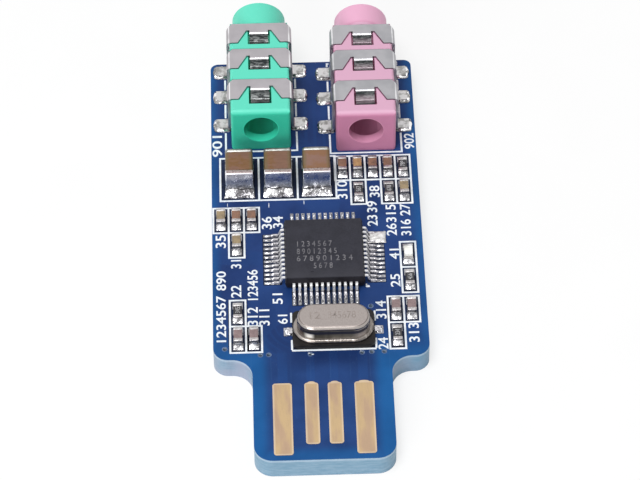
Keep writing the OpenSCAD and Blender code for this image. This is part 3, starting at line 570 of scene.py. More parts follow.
def plastic_finish(name, side, top, mouth, hollow):
    """A glossy moulding with faint flow lines, painted paler on top and at the nozzle as sheen and in
    its round hole as light.
    """
    f = Finish(name)
    above, along = f.above, f.along
    wide = f.noise(1.6, 2.0)
    flow = f.noise(0.5, 3.0, 0.6, f.scaled(1, 0.3, 1))
    speck = f.noise(0.09, 2.0)
    # painted light: the top and mouth tones are sheen on the roof and the nozzle, the hollow tone is
    # light in the hole
    tone = f.mix(f.ramp(above, 4.55, 4.88) * (along < 46.6), side, top)
    tone = f.mix(f.ramp(along, 46.2, 47.0), tone, mouth)
    ring = ((abs(f.x) - JACK_X) ** 2.0 + (above - HOLE_Z) ** 2.0) ** 0.5
    hole = f.ramp(ring, 1.60, 1.66, 1.0, 0.0) | (ring < 2.1) * (along > 36.6)
    tone = f.mix(hole, tone, hollow)
    drift = f.ramp(wide * 0.6 + flow * 0.4, 0.35, 0.65, 0.0, 0.12)
    tone = f.mix(drift, tone, (0.9, 0.9, 0.9), "MULTIPLY")
    tone = f.mix(f.ramp(speck, 0.68, 0.80, 0.0, 0.3), tone, (0.85, 0.9, 0.88))
    return f.done(Base_Color=tone, Roughness=f.ramp(wide, 0.3, 0.7, 0.40, 0.52),
                  Specular_IOR_Level=0.32, Normal=f.bump(flow * 0.7 + speck * 0.3, 0.12, 0.02))


print("round holes at", HOLE_Z, "mm over the board")

# %% [markdown]
# ## The crystal's can
#
# The can is drawn from thin sheet. Its lid is matt and its wall polished, so the wall mirrors what
# stands round it. A mirror shows something else from every side, and a painted one doesn't, so only
# broad soft bands are painted on the wall and the rest is left to the shader.

# %% Can
FLANGE_TOP, RIM = 0.36, 0.30  # heights of the flange and of the rounded rim under the lid, in mm


def can_finish():
    """The drawn can: matt on its flat top, with painted dark and bright reflection bands on the
    polished wall below.
    """
    f = Finish("satin_can")
    low, high = (corner.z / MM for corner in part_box("crystal_can"))
    level, tall = f.z - low, high - low
    grain = f.noise(0.07, 3.0, 0.6, f.scaled(1, 0.4, 1))
    sides = f.noise(1.1, 2.0, 0.5, f.scaled(1, 0.25, 0.05))
    top = f.mix(f.ramp(grain, 0.3, 0.7), (0.34, 0.30, 0.285), (0.42, 0.375, 0.355))
    near = f.ramp(f.y, -9.6, -9.0, 1.0, 0.0)

    # painted reflections: the wall shows the dark board low down, a navy band higher up and one lamp on
    # the left
    wall = f.mix(f.ramp(sides, 0.40, 0.60), (0.050, 0.046, 0.036), (0.115, 0.105, 0.088))
    wall = f.mix(f.ramp(f.x, 2.6, 3.4) * f.ramp(sides, 0.35, 0.55, 0.4, 1.0), wall, (0.34, 0.30, 0.28))
    wall = f.mix(f.ramp(f.x, -1.4, -1.7), wall, (0.075, 0.055, 0.048))
    wall = f.mix(f.within(level, 0.84, 1.20, 0.05) * 0.85, wall, (0.016, 0.018, 0.034))
    gleam = f.within(f.x, -1.34, -0.72, 0.22) * f.within(level, 0.38, 0.88, 0.10) * near
    wall = f.mix(gleam, wall, (0.99, 0.96, 0.90))
    polish = f.within(level, FLANGE_TOP, tall - 0.33, 0.03)

    # from the top down: the lid, a painted dark reflection line at its near edge, the rim and a painted
    # dark reflection band on its lower side
    tone = f.mix(level > tall - 0.05, wall, top)
    tone = f.mix(f.within(level, tall - RIM, tall - 0.05, 0.03), tone, (0.40, 0.365, 0.345))
    line = f.within(level, tall - 0.040, tall - 0.012, 0.006) * near
    tone = f.mix(line * 0.75, tone, (0.09, 0.075, 0.068))
    tone = f.mix(f.within(level, tall - RIM - 0.01, tall - 0.20, 0.04) * 0.6, tone, (0.14, 0.125, 0.12))

    # the flange is mottled and darker towards its lower edge, and its near edge is painted dark as a
    # reflection, broken by small bright dots
    flange = f.mix(f.ramp(sides, 0.4, 0.6), (0.33, 0.295, 0.27), (0.50, 0.46, 0.43))
    flange = f.mix(f.ramp(level, 0.16, 0.27, 0.85, 0.0), flange, (0.17, 0.145, 0.13))
    dots = f.ramp(f.noise(0.22, 2.0, 0.6, f.scaled(1, 0.5, 0.3)), 0.56, 0.64)
    edge = f.within(level, 0.17, 0.345, 0.02) * near * (1.0 - dots) * f.ramp(f.x, -1.9, -0.4, 0.3, 1.0)
    flange = f.mix(edge * 0.80, flange, (0.12, 0.105, 0.095))
    tone = f.mix(level < FLANGE_TOP, tone, flange)
    return f.done(Base_Color=tone, Metallic=1.0 - polish * 0.75,
                  Roughness=f.ramp(level, tall - 0.10, tall - 0.04, 0.22, 0.36),
                  Specular_IOR_Level=0.3, Normal=f.bump(grain, 0.15, 0.01))


print("can:", FLANGE_TOP, "mm of flange,", RIM, "mm of rim")

# %% [markdown]
# ## The chip
#
# A chip is moulded in black epoxy with a fine matt grain; its sides are painted darker as shade and its
# top paler near the front as a highlight. Its leads are tinned copper: painted bright where they leave
# the body, as a highlight, and dull where solder has wetted their feet.

# %% Chip and leads
def lead_finish():
    """The chip's leads: satin, painted bright on their shoulders and legs as a highlight, and dull
    where solder wets the foot.
    """
    f = Finish("tinned_lead")
    grain = f.noise(0.12, 3.0, 0.6)
    upper = f.ramp(f.above, 0.26, 0.36)
    foot = f.mix(f.ramp(grain, 0.35, 0.65), (0.34, 0.33, 0.35), (0.78, 0.765, 0.79))
    # painted highlight: the shoulders and legs are bright and less metallic, for a whiter look
    shoulder_highlight = f.mix(f.ramp(grain, 0.35, 0.65), (0.66, 0.66, 0.68), (0.90, 0.90, 0.91))
    return f.done(Base_Color=f.mix(upper, foot, shoulder_highlight), Metallic=1.0 - upper * 0.55,
                  Roughness=f.ramp(grain, 0.3, 0.7, 0.26, 0.40), Normal=f.bump(grain, 0.2, 0.01))


def chip_finish():
    """Moulded black: fine matt grain on top, painted darker on its sides as shade and paler towards the
    top's near edge as a highlight.
    """
    f = Finish("chip_black")
    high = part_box("chip_body")[1].z / MM
    grain = f.noise(0.10, 4.0, 0.6)
    wide = f.noise(1.2, 2.0)
    # painted highlight: the top turns paler towards its near edge
    near = f.ramp(f.along, 18.6, 20.4, 0.25, 0.0)
    matt = f.ramp(grain * 0.5 + wide * 0.5, 0.35, 0.65)
    top = f.mix(matt, (0.015, 0.015, 0.022), (0.027, 0.027, 0.037))
    top = f.mix(near, top, (0.060, 0.060, 0.072))
    # painted shade: the sides are darker than the top
    side = f.mix(f.ramp(wide, 0.3, 0.7), (0.008, 0.007, 0.010), (0.016, 0.015, 0.020))
    tone = f.mix(f.ramp(f.z, high - 0.12, high - 0.03), side, top)
    return f.done(Base_Color=tone, Roughness=f.ramp(wide, 0.3, 0.7, 0.5, 0.62),
                  Specular_IOR_Level=0.22, Normal=f.bump(grain, 0.5, 0.02))


print("helpers:", lead_finish.__name__, chip_finish.__name__)

# %% [markdown]
# ## Which solid gets which finish
#
# Every solid carries the name of a slot, such as a ceramic or a pad. One table gives each slot its
# finish, and a loop puts it on all the solids at once, so a solid can't be forgotten.

# %% The table of finishes
finishes = {
    "board": blue_lacquer,
    "gold_contact": gold_finish(),
    "chip_moulding": chip_finish(),
    "tinned_lead": lead_finish(),
    "pad": metal("tinned_pad", (0.16, 0.165, 0.18), (0.55, 0.55, 0.57), (0.25, 0.42), 0.20, 0.4, 0.02),
    "crystal_can": can_finish(),
    "crystal_base": solid("base_black", (0.006, 0.005, 0.005), (0.014, 0.012, 0.011), (0.40, 0.55),
                          0.15, 0.3, 0.01, 0.25),
    "end_metal": metal("tinned_end", (0.36, 0.345, 0.345), (0.66, 0.645, 0.645), (0.30, 0.45),
                       0.15, 0.5, 0.02),
    "calm_solder": solder_finish("calm_solder", 0.75, (0.26, 0.255, 0.25), (0.93, 0.92, 0.91)),
    "blue_tin": tin_finish(),
    "large_ceramic": large_ceramic("brown_ceramic", (0.150, 0.066, 0.018), (0.155, 0.074, 0.046)),
    "small_ceramic": solid("red_ceramic", (0.20, 0.115, 0.085), (0.29, 0.17, 0.13), (0.35, 0.5), 0.10),
    "resistor_body": solid("resistor_glaze", (0.012, 0.011, 0.013), (0.026, 0.024, 0.028),
                           (0.3, 0.42), 0.08),
    "led_base": solid("lamp_base", (0.62, 0.60, 0.55), (0.72, 0.70, 0.64), (0.5, 0.6), 0.12),
    "led_lens": solid("lamp_lens", (0.56, 0.56, 0.52), (0.98, 0.98, 0.94), (0.18, 0.25), 0.30),
    # plastic tones: side, then painted sheen on the roof and the nozzle, then painted light in the hole
    "green_plastic": plastic_finish("green_plastic", (0.034, 0.50, 0.335), (0.105, 0.62, 0.46),
                                    (0.115, 0.63, 0.47), (0.042, 0.64, 0.43)),
    "pink_plastic": plastic_finish("pink_plastic", (0.52, 0.205, 0.335), (0.60, 0.345, 0.47),
                                   (0.70, 0.37, 0.52), (0.64, 0.28, 0.43)),
    "contact_sheet": clip_finish(),
    "solder": solder_finish("bright_solder", 0.42, (0.26, 0.255, 0.265), (0.95, 0.95, 0.97),
                            grey_from=0.20),
    "white_print": solid("white_ink", (0.62, 0.68, 0.74), (0.86, 0.88, 0.90), (0.55, 0.7), 0.10, 0.4),
}

for name, part in parts.items():
    for slot in part.material_slots:
        kind = slot.material.name.split(".")[0]
        if kind in finishes:
            slot.material = finishes[kind]
        else:
            print("no finish for", kind, "on", name)
print("finishes:", len(finishes))

# %% [markdown]
# ## Making pieces
#
# A new piece is a bmesh: it starts from a cube, a grid or a ball and gets its shape from operators such
# as bevel, extrude and bisect. The first helper turns it into an object that rides on the card, gives
# it its finish and shades it smooth except at sharp edges. The second makes what most of the card is
# made of, a small block whose edges are rounded.

# %% Piece helpers
def piece_from(bm, name, finish, slot, replaces=(), sharp=40):
    """A finished object from a bmesh, riding on the card and standing for the named solids."""
    bmesh.ops.recalc_face_normals(bm, faces=bm.faces)
    mesh = bpy.data.meshes.new(name)
    bm.to_mesh(mesh)
    bm.free()
    mesh.materials.append(finish)
    mesh.polygons.foreach_set("use_smooth", [True] * len(mesh.polygons))
    mesh.set_sharp_from_angle(angle=math.radians(sharp))
    piece = bpy.data.objects.new(name, mesh)
    bpy.context.scene.collection.objects.link(piece)
    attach(piece, "root")
    if replaces:
        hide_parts(*replaces)
    print(name + ":", len(mesh.polygons), "faces")
    return piece


def soft_block(bm, low, high, radius, keep=None, segments=2):
    """A block between two corners. Its edges are rounded, or only those that run along axis keep."""
    size, middle = high - low, (high + low) / 2
    made = bmesh.ops.create_cube(bm, size=1)["verts"]
    bmesh.ops.scale(bm, vec=size, verts=made)
    edges = {e for v in made for e in v.link_edges}
    if keep is not None:
        edges = {e for e in edges if abs((e.verts[0].co - e.verts[1].co)[keep]) > size[keep] / 2}
    bmesh.ops.translate(bm, vec=middle, verts=made)
    bmesh.ops.bevel(bm, geom=list(edges), offset=radius, segments=segments, profile=0.5,
                    affect="EDGES", material=-1)


print("helpers:", piece_from.__name__, soft_block.__name__)

# %% [markdown]
# ## Chip parts
#
# A chip capacitor is a fired ceramic block whose two ends were dipped into silver paste and then
# tinned, so the metal stands a hair proud of the ceramic and all its edges are round. A chip resistor
# is the same shape, flatter and glazed black. The solids have these parts as sharp blocks; here every
# block gets its rounded edges, with its size taken from the solid that it stands for. Ceramic is never
# quite the same colour from one part to the next, so a few finishes are dealt out.

# %% Ceramic cores
END_SKIN = 0.03 * MM  # how far the metal ends stand proud of the ceramic
SMALL_BAND, LARGE_BAND = 0.34 * MM, 0.55 * MM  # the ends' length along the part
CAPACITORS = ["capacitor_" + str(n) for n in range(1, 14)]
RESISTORS = ["resistor_" + str(n) for n in range(1, 7)]
LARGE = ["large_capacitor_" + str(n) for n in (1, 2, 3)]
ceramics = {
    "red": solid("ceramic_red", (0.13, 0.075, 0.055), (0.26, 0.13, 0.08), (0.35, 0.5), 0.10),
    "tan": solid("ceramic_tan", (0.18, 0.14, 0.09), (0.31, 0.23, 0.13), (0.35, 0.5), 0.10),
    "grey": solid("ceramic_grey", (0.18, 0.125, 0.125), (0.27, 0.195, 0.195), (0.35, 0.5), 0.10),
    "pale": large_ceramic("ceramic_pale", (0.200, 0.094, 0.040), (0.205, 0.112, 0.085)),
    "gold": solid("ceramic_gold", (0.27, 0.145, 0.075), (0.45, 0.27, 0.12), (0.35, 0.5), 0.10),
}
DEALT = "grey grey grey grey tan tan red red red gold red red tan".split()


def core_piece(name, finish, slot, band, radius=0.035 * MM, segments=2):
    """The part's middle between its two ends, rounded along its length."""
    low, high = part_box(name)
    trim = Vector((0, band - 2 * END_SKIN, 0))
    bm = bmesh.new()
    soft_block(bm, low + trim, high - trim, radius, keep=1, segments=segments)
    return piece_from(bm, name + "_core", finish, slot, [name])


for name, tone in zip(CAPACITORS, DEALT):
    core_piece(name, ceramics[tone], "small_ceramic", SMALL_BAND)
for name in RESISTORS:
    core_piece(name, finishes["resistor_body"], "resistor_body", SMALL_BAND)

# %% [markdown]
# The ends that face the tongue and those that face the jacks are painted as shaded and lit copies of
# one metal, because the lamps light them from one side: the near ones are painted dark down their faces
# as shade, the far ones pale. So each group of ends becomes two pieces, one for each side.

# %% Metal ends
def end_block(bm, name, band, radius, far, segments=2):
    """The metal end nearest the tongue, or the far one, of the part whose core is the named solid."""
    skin = Vector((END_SKIN,) * 3)
    low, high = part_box(name)
    low, high = low - skin, high + skin
    start = high.y - band if far else low.y
    soft_block(bm, Vector((low.x, start, low.z)), Vector((high.x, start + band, high.z)), radius,
               segments=segments)


def dull_end(name, part):
    """A tinned end painted pale on top as lit and dark down its face as shade, for parts as tall as the
    named one.
    """
    f = Finish(name)
    top = (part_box(part)[1].z + END_SKIN) / MM
    grain = f.noise(0.14, 3.0, 0.6)
    patches = f.ramp(grain, 0.38, 0.62)
    face = f.mix(patches, (0.10, 0.092, 0.092), (0.26, 0.245, 0.245))
    lid = f.mix(patches, (0.36, 0.34, 0.34), (0.56, 0.535, 0.535))
    tone = f.mix(f.ramp(f.z, top - 0.09, top - 0.02), face, lid)
    return f.done(Base_Color=tone, Metallic=1.0, Roughness=f.ramp(grain, 0.3, 0.7, 0.30, 0.42),
                  Normal=f.bump(grain, 0.5, 0.02))


for group, names in (("capacitor_ends", CAPACITORS), ("resistor_ends", RESISTORS)):
    near_finish = dull_end("dull_" + group, names[0])
    for far, finish in ((False, near_finish), (True, finishes["end_metal"])):
        bm = bmesh.new()
        for name in names:
            end_block(bm, name, SMALL_BAND, 0.05 * MM, far)
        piece_from(bm, group + ("_far" if far else "_near"), finish, "end_metal", [group])

# %% [markdown]
# The large capacitors are made in the same way, from rounder blocks. One of the three ceramics is
# paler. Their near ends are smooth tin painted bluish as a reflection of the board, with painted glints
# and highlights; their far ends a greyer one with still rounder edges.

# %% Large capacitors
brown = finishes["large_ceramic"]
for name, finish in zip(LARGE, (brown, brown, ceramics["pale"])):
    core_piece(name, finish, "large_ceramic", LARGE_BAND, 0.22 * MM, segments=4)

pale_tin = metal("pale_tin", (0.15, 0.155, 0.142), (0.36, 0.36, 0.345), (0.30, 0.42), 0.40, 0.4, 0.02)
for far, finish, radius in ((False, finishes["blue_tin"], 0.14 * MM), (True, pale_tin, 0.27 * MM)):
    bm = bmesh.new()
    for name in LARGE:
        end_block(bm, name, LARGE_BAND, radius, far, segments=5)
    piece_from(bm, "large_ends" + ("_far" if far else "_near"), finish, "end_metal",
               ["large_capacitor_ends"])

# %% [markdown]
# ## Under the crystal
#
# The crystal stands on a moulded plate whose corners are round when seen from above. The solid has them
# sharper, so a plate of the same size with softer corners stands for it.

# %% Crystal's plate
low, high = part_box("crystal_base")
bm = bmesh.new()
soft_block(bm, low, high, 0.55 * MM, keep=2, segments=8)
piece_from(bm, "crystal_plate", finishes["crystal_base"], "crystal_base", ["crystal_base"])

# %% [markdown]
# ## Gold contacts
#
# The contacts are etched copper under gold. Etching rounds their corners, and a short stub is left
# where the plating current came in. The solids keep them as plain plates; these have the softer outline
# and a stub that is only a small swelling of the far edge.

# %% Contacts
CONTACT_END = 8.15  # where the gold ends, from the tongue's root, in millimetres

for n in (1, 2, 3, 4):
    low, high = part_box("usb_contact_" + str(n))
    high.y = on_card(0, CONTACT_END).y
    bm = bmesh.new()
    soft_block(bm, low, high, 0.26 * MM, keep=2, segments=5)
    if n > 1:
        bump = bmesh.ops.create_cone(bm, cap_ends=True, segments=20, radius1=0.5 * MM, radius2=0.5 * MM,
                                     depth=high.z - low.z)["verts"]
        bmesh.ops.scale(bm, vec=((high.x - low.x) / MM * 0.55, 0.28, 1), verts=bump)
        bmesh.ops.translate(bm, vec=((low.x + high.x) / 2, high.y, (low.z + high.z) / 2 - 0.004 * MM),
                            verts=bump)
    piece_from(bm, "gold_contact_" + str(n), finishes["gold_contact"], "gold_contact",
               ["usb_contact_" + str(n)])

# %% [markdown]
# ## Windows in the lacquer, with painted shade
#
# Inside the printed frames the lacquer stops and the laminate shows through round the parts, and so it
# does between the chip's pads. These windows are also painted nearly black as the shade round the
# parts.
# Each window is a very thin dark plate on the board.

# %% Windows
WINDOWS = [  # first and last place across the board, then along it, in millimetres
    (-7.90, -6.15, 11.70, 14.48), (-6.45, -5.05, 11.70, 14.48), (-7.90, -6.22, 14.62, 17.42),
    (5.92, 7.42, 11.70, 14.48), (5.92, 7.42, 14.62, 17.42), (7.56, 8.70, 14.62, 17.42),
    (-9.10, -7.80, 25.50, 28.20), (-7.65, -6.40, 25.50, 28.20), (-6.28, -5.05, 25.50, 28.20),
    (-7.70, -6.42, 22.45, 25.35), (7.40, 8.78, 17.98, 20.75), (7.40, 8.78, 20.90, 23.65),
    (-8.42, -5.02, 29.15, 34.20), (-4.88, -1.52, 29.15, 34.20), (-1.38, 1.95, 29.15, 34.20),
    (2.08, 3.26, 31.40, 34.20), (3.40, 4.62, 31.40, 34.20), (4.76, 5.98, 31.40, 34.20),
    (6.12, 7.34, 31.40, 34.20), (7.48, 8.70, 31.40, 34.20), (3.40, 4.62, 28.45, 31.26),
    (6.12, 7.34, 28.45, 31.26), (7.48, 8.70, 28.45, 31.26), (-2.38, 4.80, 11.82, 15.79),
    (-4.77, -3.1, 19.15, 25.05), (4.4, 6.05, 19.15, 25.05), (-2.30, 3.62, 16.72, 18.50),
]
# painted shade: the dark laminate tone is darkened further to stand for the shade round the parts
laminate_and_shade = solid("laminate_with_painted_shade", (0.006, 0.009, 0.024), (0.014, 0.024, 0.062), (0.45, 0.6),
             0.18, 0.3, 0.01, 0.12)
bm = bmesh.new()
for left, right, near, far in WINDOWS:
    soft_block(bm, on_card(left, near, -0.002), on_card(right, far, 0.006), 0.08 * MM, keep=2)
piece_from(bm, "lacquer_windows", laminate_and_shade, "board")

# %% [markdown]
# A ring of lacquered copper goes round each small plated hole. It is a small rectangle, drawn beside
# the hole and spun once round the hole's middle, so it comes out as a closed ring with no end faces.

# %% Rings
def flat_ring(bm, x, y, inner, outer, low, high):
    """A ring with a square section round a point of the board, in millimetres."""
    corners = [bm.verts.new(on_card(x + r, y, z)) for r, z in
               ((inner, low), (outer, low), (outer, high), (inner, high))]
    section = [bm.edges.new((corners[n], corners[(n + 1) % 4])) for n in range(4)]
    bmesh.ops.spin(bm, geom=corners + section, cent=on_card(x, y), axis=(0, 0, 1),
                   angle=2 * math.pi, steps=24, use_merge=True)


VIAS = [(-8.23, 12.10), (-5.16, 11.35), (-4.44, 11.35), (-0.84, 11.30), (3.60, 11.35), (4.44, 11.40),
        (5.52, 11.40), (4.56, 16.50)]
ringed = solid("lacquered_ring", (0.008, 0.025, 0.09), (0.13, 0.19, 0.33), (0.35, 0.5), 0.16, 0.4)
bm = bmesh.new()
for x, y in VIAS:
    flat_ring(bm, x, y, 0.176, 0.25, -0.02, 0.012)
piece_from(bm, "hole_rings", ringed, "pad")

# %% [markdown]
# ## Solder
#
# Liquid solder climbs a metal wall and runs out over the pad, which leaves a hollow slope with a shiny,
# uneven skin. Each slope here is a grid bent into that curve, made lumpy with noise and closed by
# pulling its rim straight down to the pad. The noise is read at the slope's own place, so every slope
# differs and every run gives the same ones.

# %% Solder slopes
PAD_Z = board_top + 0.05 * MM


def lumps(place, size, seed=0.0):
    """Uneven skin: coarse lumps with finer ones on them, about -1 to 1."""
    spot = place / (size * MM) + Vector((seed, seed * 1.7, 0))
    return noise.noise(spot) + 0.5 * noise.noise(spot * 2.3)


def close_down(bm, grid):
    """Pulls the rim of a bent grid straight down to the pad and closes the shape from below."""
    rim = list({e for v in grid for e in v.link_edges if e.is_boundary})
    made = bmesh.ops.extrude_edge_only(bm, edges=rim)["geom"]
    foot = [g for g in made if isinstance(g, bmesh.types.BMVert)]
    for v in foot:
        v.co.z = PAD_Z
    lower = [e for e in {e for v in foot for e in v.link_edges} if all(v in foot for v in e.verts)]
    bmesh.ops.holes_fill(bm, edges=lower, sides=0)


def solder_slope(bm, heel, out, width, reach, height, cells=(10, 7), flare=0.1, skin=0.05):
    """A slope of solder from a wall at heel, running out along out over the pad. Lengths in metres."""
    across = Vector((-out.y, out.x, 0))
    grid = bmesh.ops.create_grid(bm, x_segments=cells[0], y_segments=cells[1], size=0.5)["verts"]
    for v in grid:
        u, t = v.co.x * 2, v.co.y + 0.5
        spot = heel + out * reach * t + across * u * (width / 2) * (1 + flare * t)
        shape = (1 - t) ** 1.9 * (1 - 0.35 * abs(u) ** 4) + 0.10 * (1 - t ** 6)
        uneven = lumps(spot, 0.30) * skin * MM * (0.35 + 0.65 * t) * (1 - abs(u) ** 8)
        spot.z = PAD_Z + max(height * shape + uneven, 0.012 * MM)
        v.co = spot
    close_down(bm, grid)


def slopes_at(bm, name, width, reach, height, **more):
    """Slopes at both ends of the part whose core is the named solid."""
    low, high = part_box(name)
    middle = (low + high) / 2
    for side in (-1, 1):
        heel = Vector((middle.x, (low if side < 0 else high).y + side * END_SKIN, 0))
        solder_slope(bm, heel, Vector((0, side, 0)), width, reach, height, **more)


bm = bmesh.new()
for name in CAPACITORS:
    slopes_at(bm, name, 0.76 * MM, 0.38 * MM, 0.46 * MM, flare=0.02)
for name in RESISTORS:
    slopes_at(bm, name, 0.76 * MM, 0.36 * MM, 0.30 * MM, flare=0.02)
slopes_at(bm, "led_base", 0.82 * MM, 0.36 * MM, 0.22 * MM)
piece_from(bm, "part_solder_skin", finishes["solder"], "solder", ["part_solder"], sharp=60)
bm = bmesh.new()
for name in LARGE:
    slopes_at(bm, name, 2.44 * MM, 0.72 * MM, 0.58 * MM, cells=(36, 20), flare=0.12, skin=0.14)
low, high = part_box(LARGE[0])
wall = ((low.y + high.y) / 2 / MM, (high.y - low.y) / 2 / MM)
large_solder = solder_finish("large_solder", 1.0, (0.17, 0.165, 0.175), (0.74, 0.73, 0.74), wall)
piece_from(bm, "large_solder_skin", large_solder, "solder", ["part_solder"], sharp=60)

# %% [markdown]
# Smaller drops of solder sit at the toes of the jacks' feet and along the chip's pads. A drop is a ball
# pressed flat, roughened and cut off at the pad.

# %% Solder drops
def solder_drop(bm, middle, radii, turn=0.0, skin=0.06, cuts=3):
    """A flattened ball of solder, cut off at the level of the pads. Lengths in millimetres."""
    ball = bmesh.ops.create_icosphere(bm, subdivisions=cuts, radius=1)["verts"]
    bmesh.ops.scale(bm, vec=Vector(radii) * MM, verts=ball)
    bmesh.ops.rotate(bm, cent=(0, 0, 0), matrix=Matrix.Rotation(turn, 3, "Z"), verts=ball)
    bmesh.ops.translate(bm, vec=Vector((middle.x, middle.y, PAD_Z)), verts=ball)
    for v in ball:
        away = (v.co - middle).normalized()
        v.co += away * lumps(v.co, 0.22) * skin * MM
    faces = list({f for v in ball for f in v.link_faces})
    geom = ball + list({e for v in ball for e in v.link_edges}) + faces
    cut = bmesh.ops.bisect_plane(bm, geom=geom, plane_co=(0, 0, PAD_Z), plane_no=(0, 0, 1),
                                 clear_inner=True)
    ring = [g for g in cut["geom_cut"] if isinstance(g, bmesh.types.BMEdge)]
    bmesh.ops.holes_fill(bm, edges=ring, sides=0)


def on_pad(x, y):
    """A place on the pads, from the card's middle and from the tongue's front edge in millimetres."""
    return Vector((x * MM, y * MM + board_low.y, PAD_Z))


SPEAKER_REAR, MICROPHONE_REAR = 35.45, 34.95  # where the jacks start
FOOT_ROWS = (2.98, 6.55, 9.70)  # from there to the middle of each pair of feet
FOOT_END = 4.075  # from the jack's axis to the toe of a foot

bm = bmesh.new()
for side, rear in ((-1, SPEAKER_REAR), (1, MICROPHONE_REAR)):
    for row in FOOT_ROWS:
        for foot in (-1, 1):
            toe = on_pad(side * JACK_X + foot * (FOOT_END + 0.02), rear + row)
            solder_drop(bm, toe, (0.27, 0.64, 0.22), skin=0.06)
            for edge in (-1, 1):
                flank = on_pad(side * JACK_X + foot * (FOOT_END - 0.5), rear + row + edge * 0.62)
                solder_drop(bm, flank, (0.52, 0.14, 0.14), skin=0.05)
piece_from(bm, "jack_solder_drops", finishes["calm_solder"], "solder", ["jack_solder"], sharp=60)

# %% [markdown]
# The chip has two drops to a lead: a dull one where the solder wets the foot, and a bright flat one
# further out on the pad. The sides of the chip are four turns of the same row of twelve.

# %% Solder along the chip
CHIP, LEAD_PITCH, LEADS = Vector((0.5404, 22.0998)), 0.5, 12
dull_solder = metal("dull_solder", (0.20, 0.195, 0.205), (0.78, 0.76, 0.79), (0.24, 0.38),
                    0.16, 0.5, 0.02)
for name, along, radii, finish in (("chip_foot_solder", 4.50, (0.24, 0.11, 0.17), dull_solder),
                                   ("chip_toe_solder", 5.00, (0.26, 0.10, 0.07), finishes["solder"])):
    bm = bmesh.new()
    for side in range(4):
        angle = side * math.pi / 2
        for n in range(LEADS):
            lead = Vector((along, (n - (LEADS - 1) / 2) * LEAD_PITCH))
            place = CHIP + Matrix.Rotation(angle, 2) @ lead
            solder_drop(bm, on_pad(*place), radii, turn=angle, skin=0.03, cuts=2)
    piece_from(bm, name, finish, "solder", sharp=60)

# %% [markdown]
# Three drops hold each of the crystal's two leads, and a flat pool of solder joins a few pads on the
# chip's right side, as on the real card. The pool is a grid that swells in the middle.

# %% Solder at the crystal and the bridge
low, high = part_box("crystal_leads")
middle = (low.y + high.y) / 2
bm = bmesh.new()
for side in (-1, 1):
    end = low.x - 0.02 * MM if side < 0 else high.x + 0.02 * MM
    solder_drop(bm, Vector((end, middle, PAD_Z)), (0.16, 0.36, 0.20), skin=0.08)
    for edge in (-1, 1):
        toe = Vector((end - side * 0.24 * MM, middle + edge * 0.32 * MM, PAD_Z))
        solder_drop(bm, toe, (0.26, 0.12, 0.15), skin=0.07)
piece_from(bm, "crystal_solder", finishes["solder"], "solder", sharp=60)


def solder_slab(bm, low, high, height, cells=16, skin=0.05):
    """A flat pool of solder over a rectangle of the board, in millimetres, closed down to the pads."""
    grid = bmesh.ops.create_grid(bm, x_segments=cells, y_segments=cells, size=1)["verts"]
    for v in grid:
        u, w = v.co.x, v.co.y
        spot = on_pad(low[0] + (high[0] - low[0]) * (u + 1) / 2,
                      low[1] + (high[1] - low[1]) * (w + 1) / 2)
        swell = (1 - abs(u) ** 5) * (1 - abs(w) ** 5)
        spot.z += (height * swell + lumps(spot, 0.28) * skin * swell + 0.02) * MM
        v.co = spot
    close_down(bm, grid)


bm = bmesh.new()
solder_slab(bm, (4.50, 23.68), (6.10, 25.04), 0.16)
bridge_tin = metal("bridge_tin", (0.46, 0.45, 0.44), (0.80, 0.79, 0.78), (0.30, 0.42), 0.28, 0.5, 0.03)
piece_from(bm, "solder_bridge", bridge_tin, "solder", sharp=60)

# %% [markdown]
# ## Printed numbers
#
# White numbers name the parts on such a board. Here they are plain counting numbers of this lesson's
# own. Each is a flat text curve of the right height, turned to read up the board, given a hair of
# thickness, made a mesh and only then put in its place, so that the finished object sits at the origin.

# %% Text as a mesh
def print_words(words, spots, turn, lift, thick=0.012, weight=0.012):
    """Flat text, as one bmesh. A spot is x, y of the text's middle, its length and its height in mm."""
    bm = bmesh.new()
    for text, (x, y, length, height) in zip(words, spots):
        curve = bpy.data.curves.new("words", "FONT")
        curve.body, curve.size, curve.offset = text, 1.0, weight
        holder = bpy.data.objects.new("words", curve)
        bpy.context.scene.collection.objects.link(holder)
        bpy.context.view_layer.update()
        flat = bpy.data.meshes.new_from_object(holder.evaluated_get(
            bpy.context.evaluated_depsgraph_get()))
        bpy.data.objects.remove(holder)
        one = bmesh.new()
        one.from_mesh(flat)
        bmesh.ops.remove_doubles(one, verts=one.verts, dist=1e-4)
        xs, ys = [v.co.x for v in one.verts], [v.co.y for v in one.verts]
        wide, tall = max(xs) - min(xs), max(ys) - min(ys)
        raised = bmesh.ops.extrude_face_region(one, geom=one.faces[:])["geom"]
        bmesh.ops.translate(one, vec=(0, 0, thick),
                            verts=[g for g in raised if isinstance(g, bmesh.types.BMVert)])
        centred = Matrix.Translation((-(min(xs) + wide / 2), -(min(ys) + tall / 2), 0))
        sized = Matrix.Diagonal((length / wide * MM, height / tall * MM, MM, 1))
        placed = Matrix.Translation(on_card(x, y, lift)) @ Matrix.Rotation(turn, 4, "Z")
        bmesh.ops.transform(one, matrix=placed @ sized @ centred, verts=one.verts)
        ready = bpy.data.meshes.new("words")
        one.to_mesh(ready)
        one.free()
        bm.from_mesh(ready)
    return bm


print("helper:", print_words.__name__)

# %% [markdown]
# The board's numbers are listed with their place, so that each stands beside the part that it names.

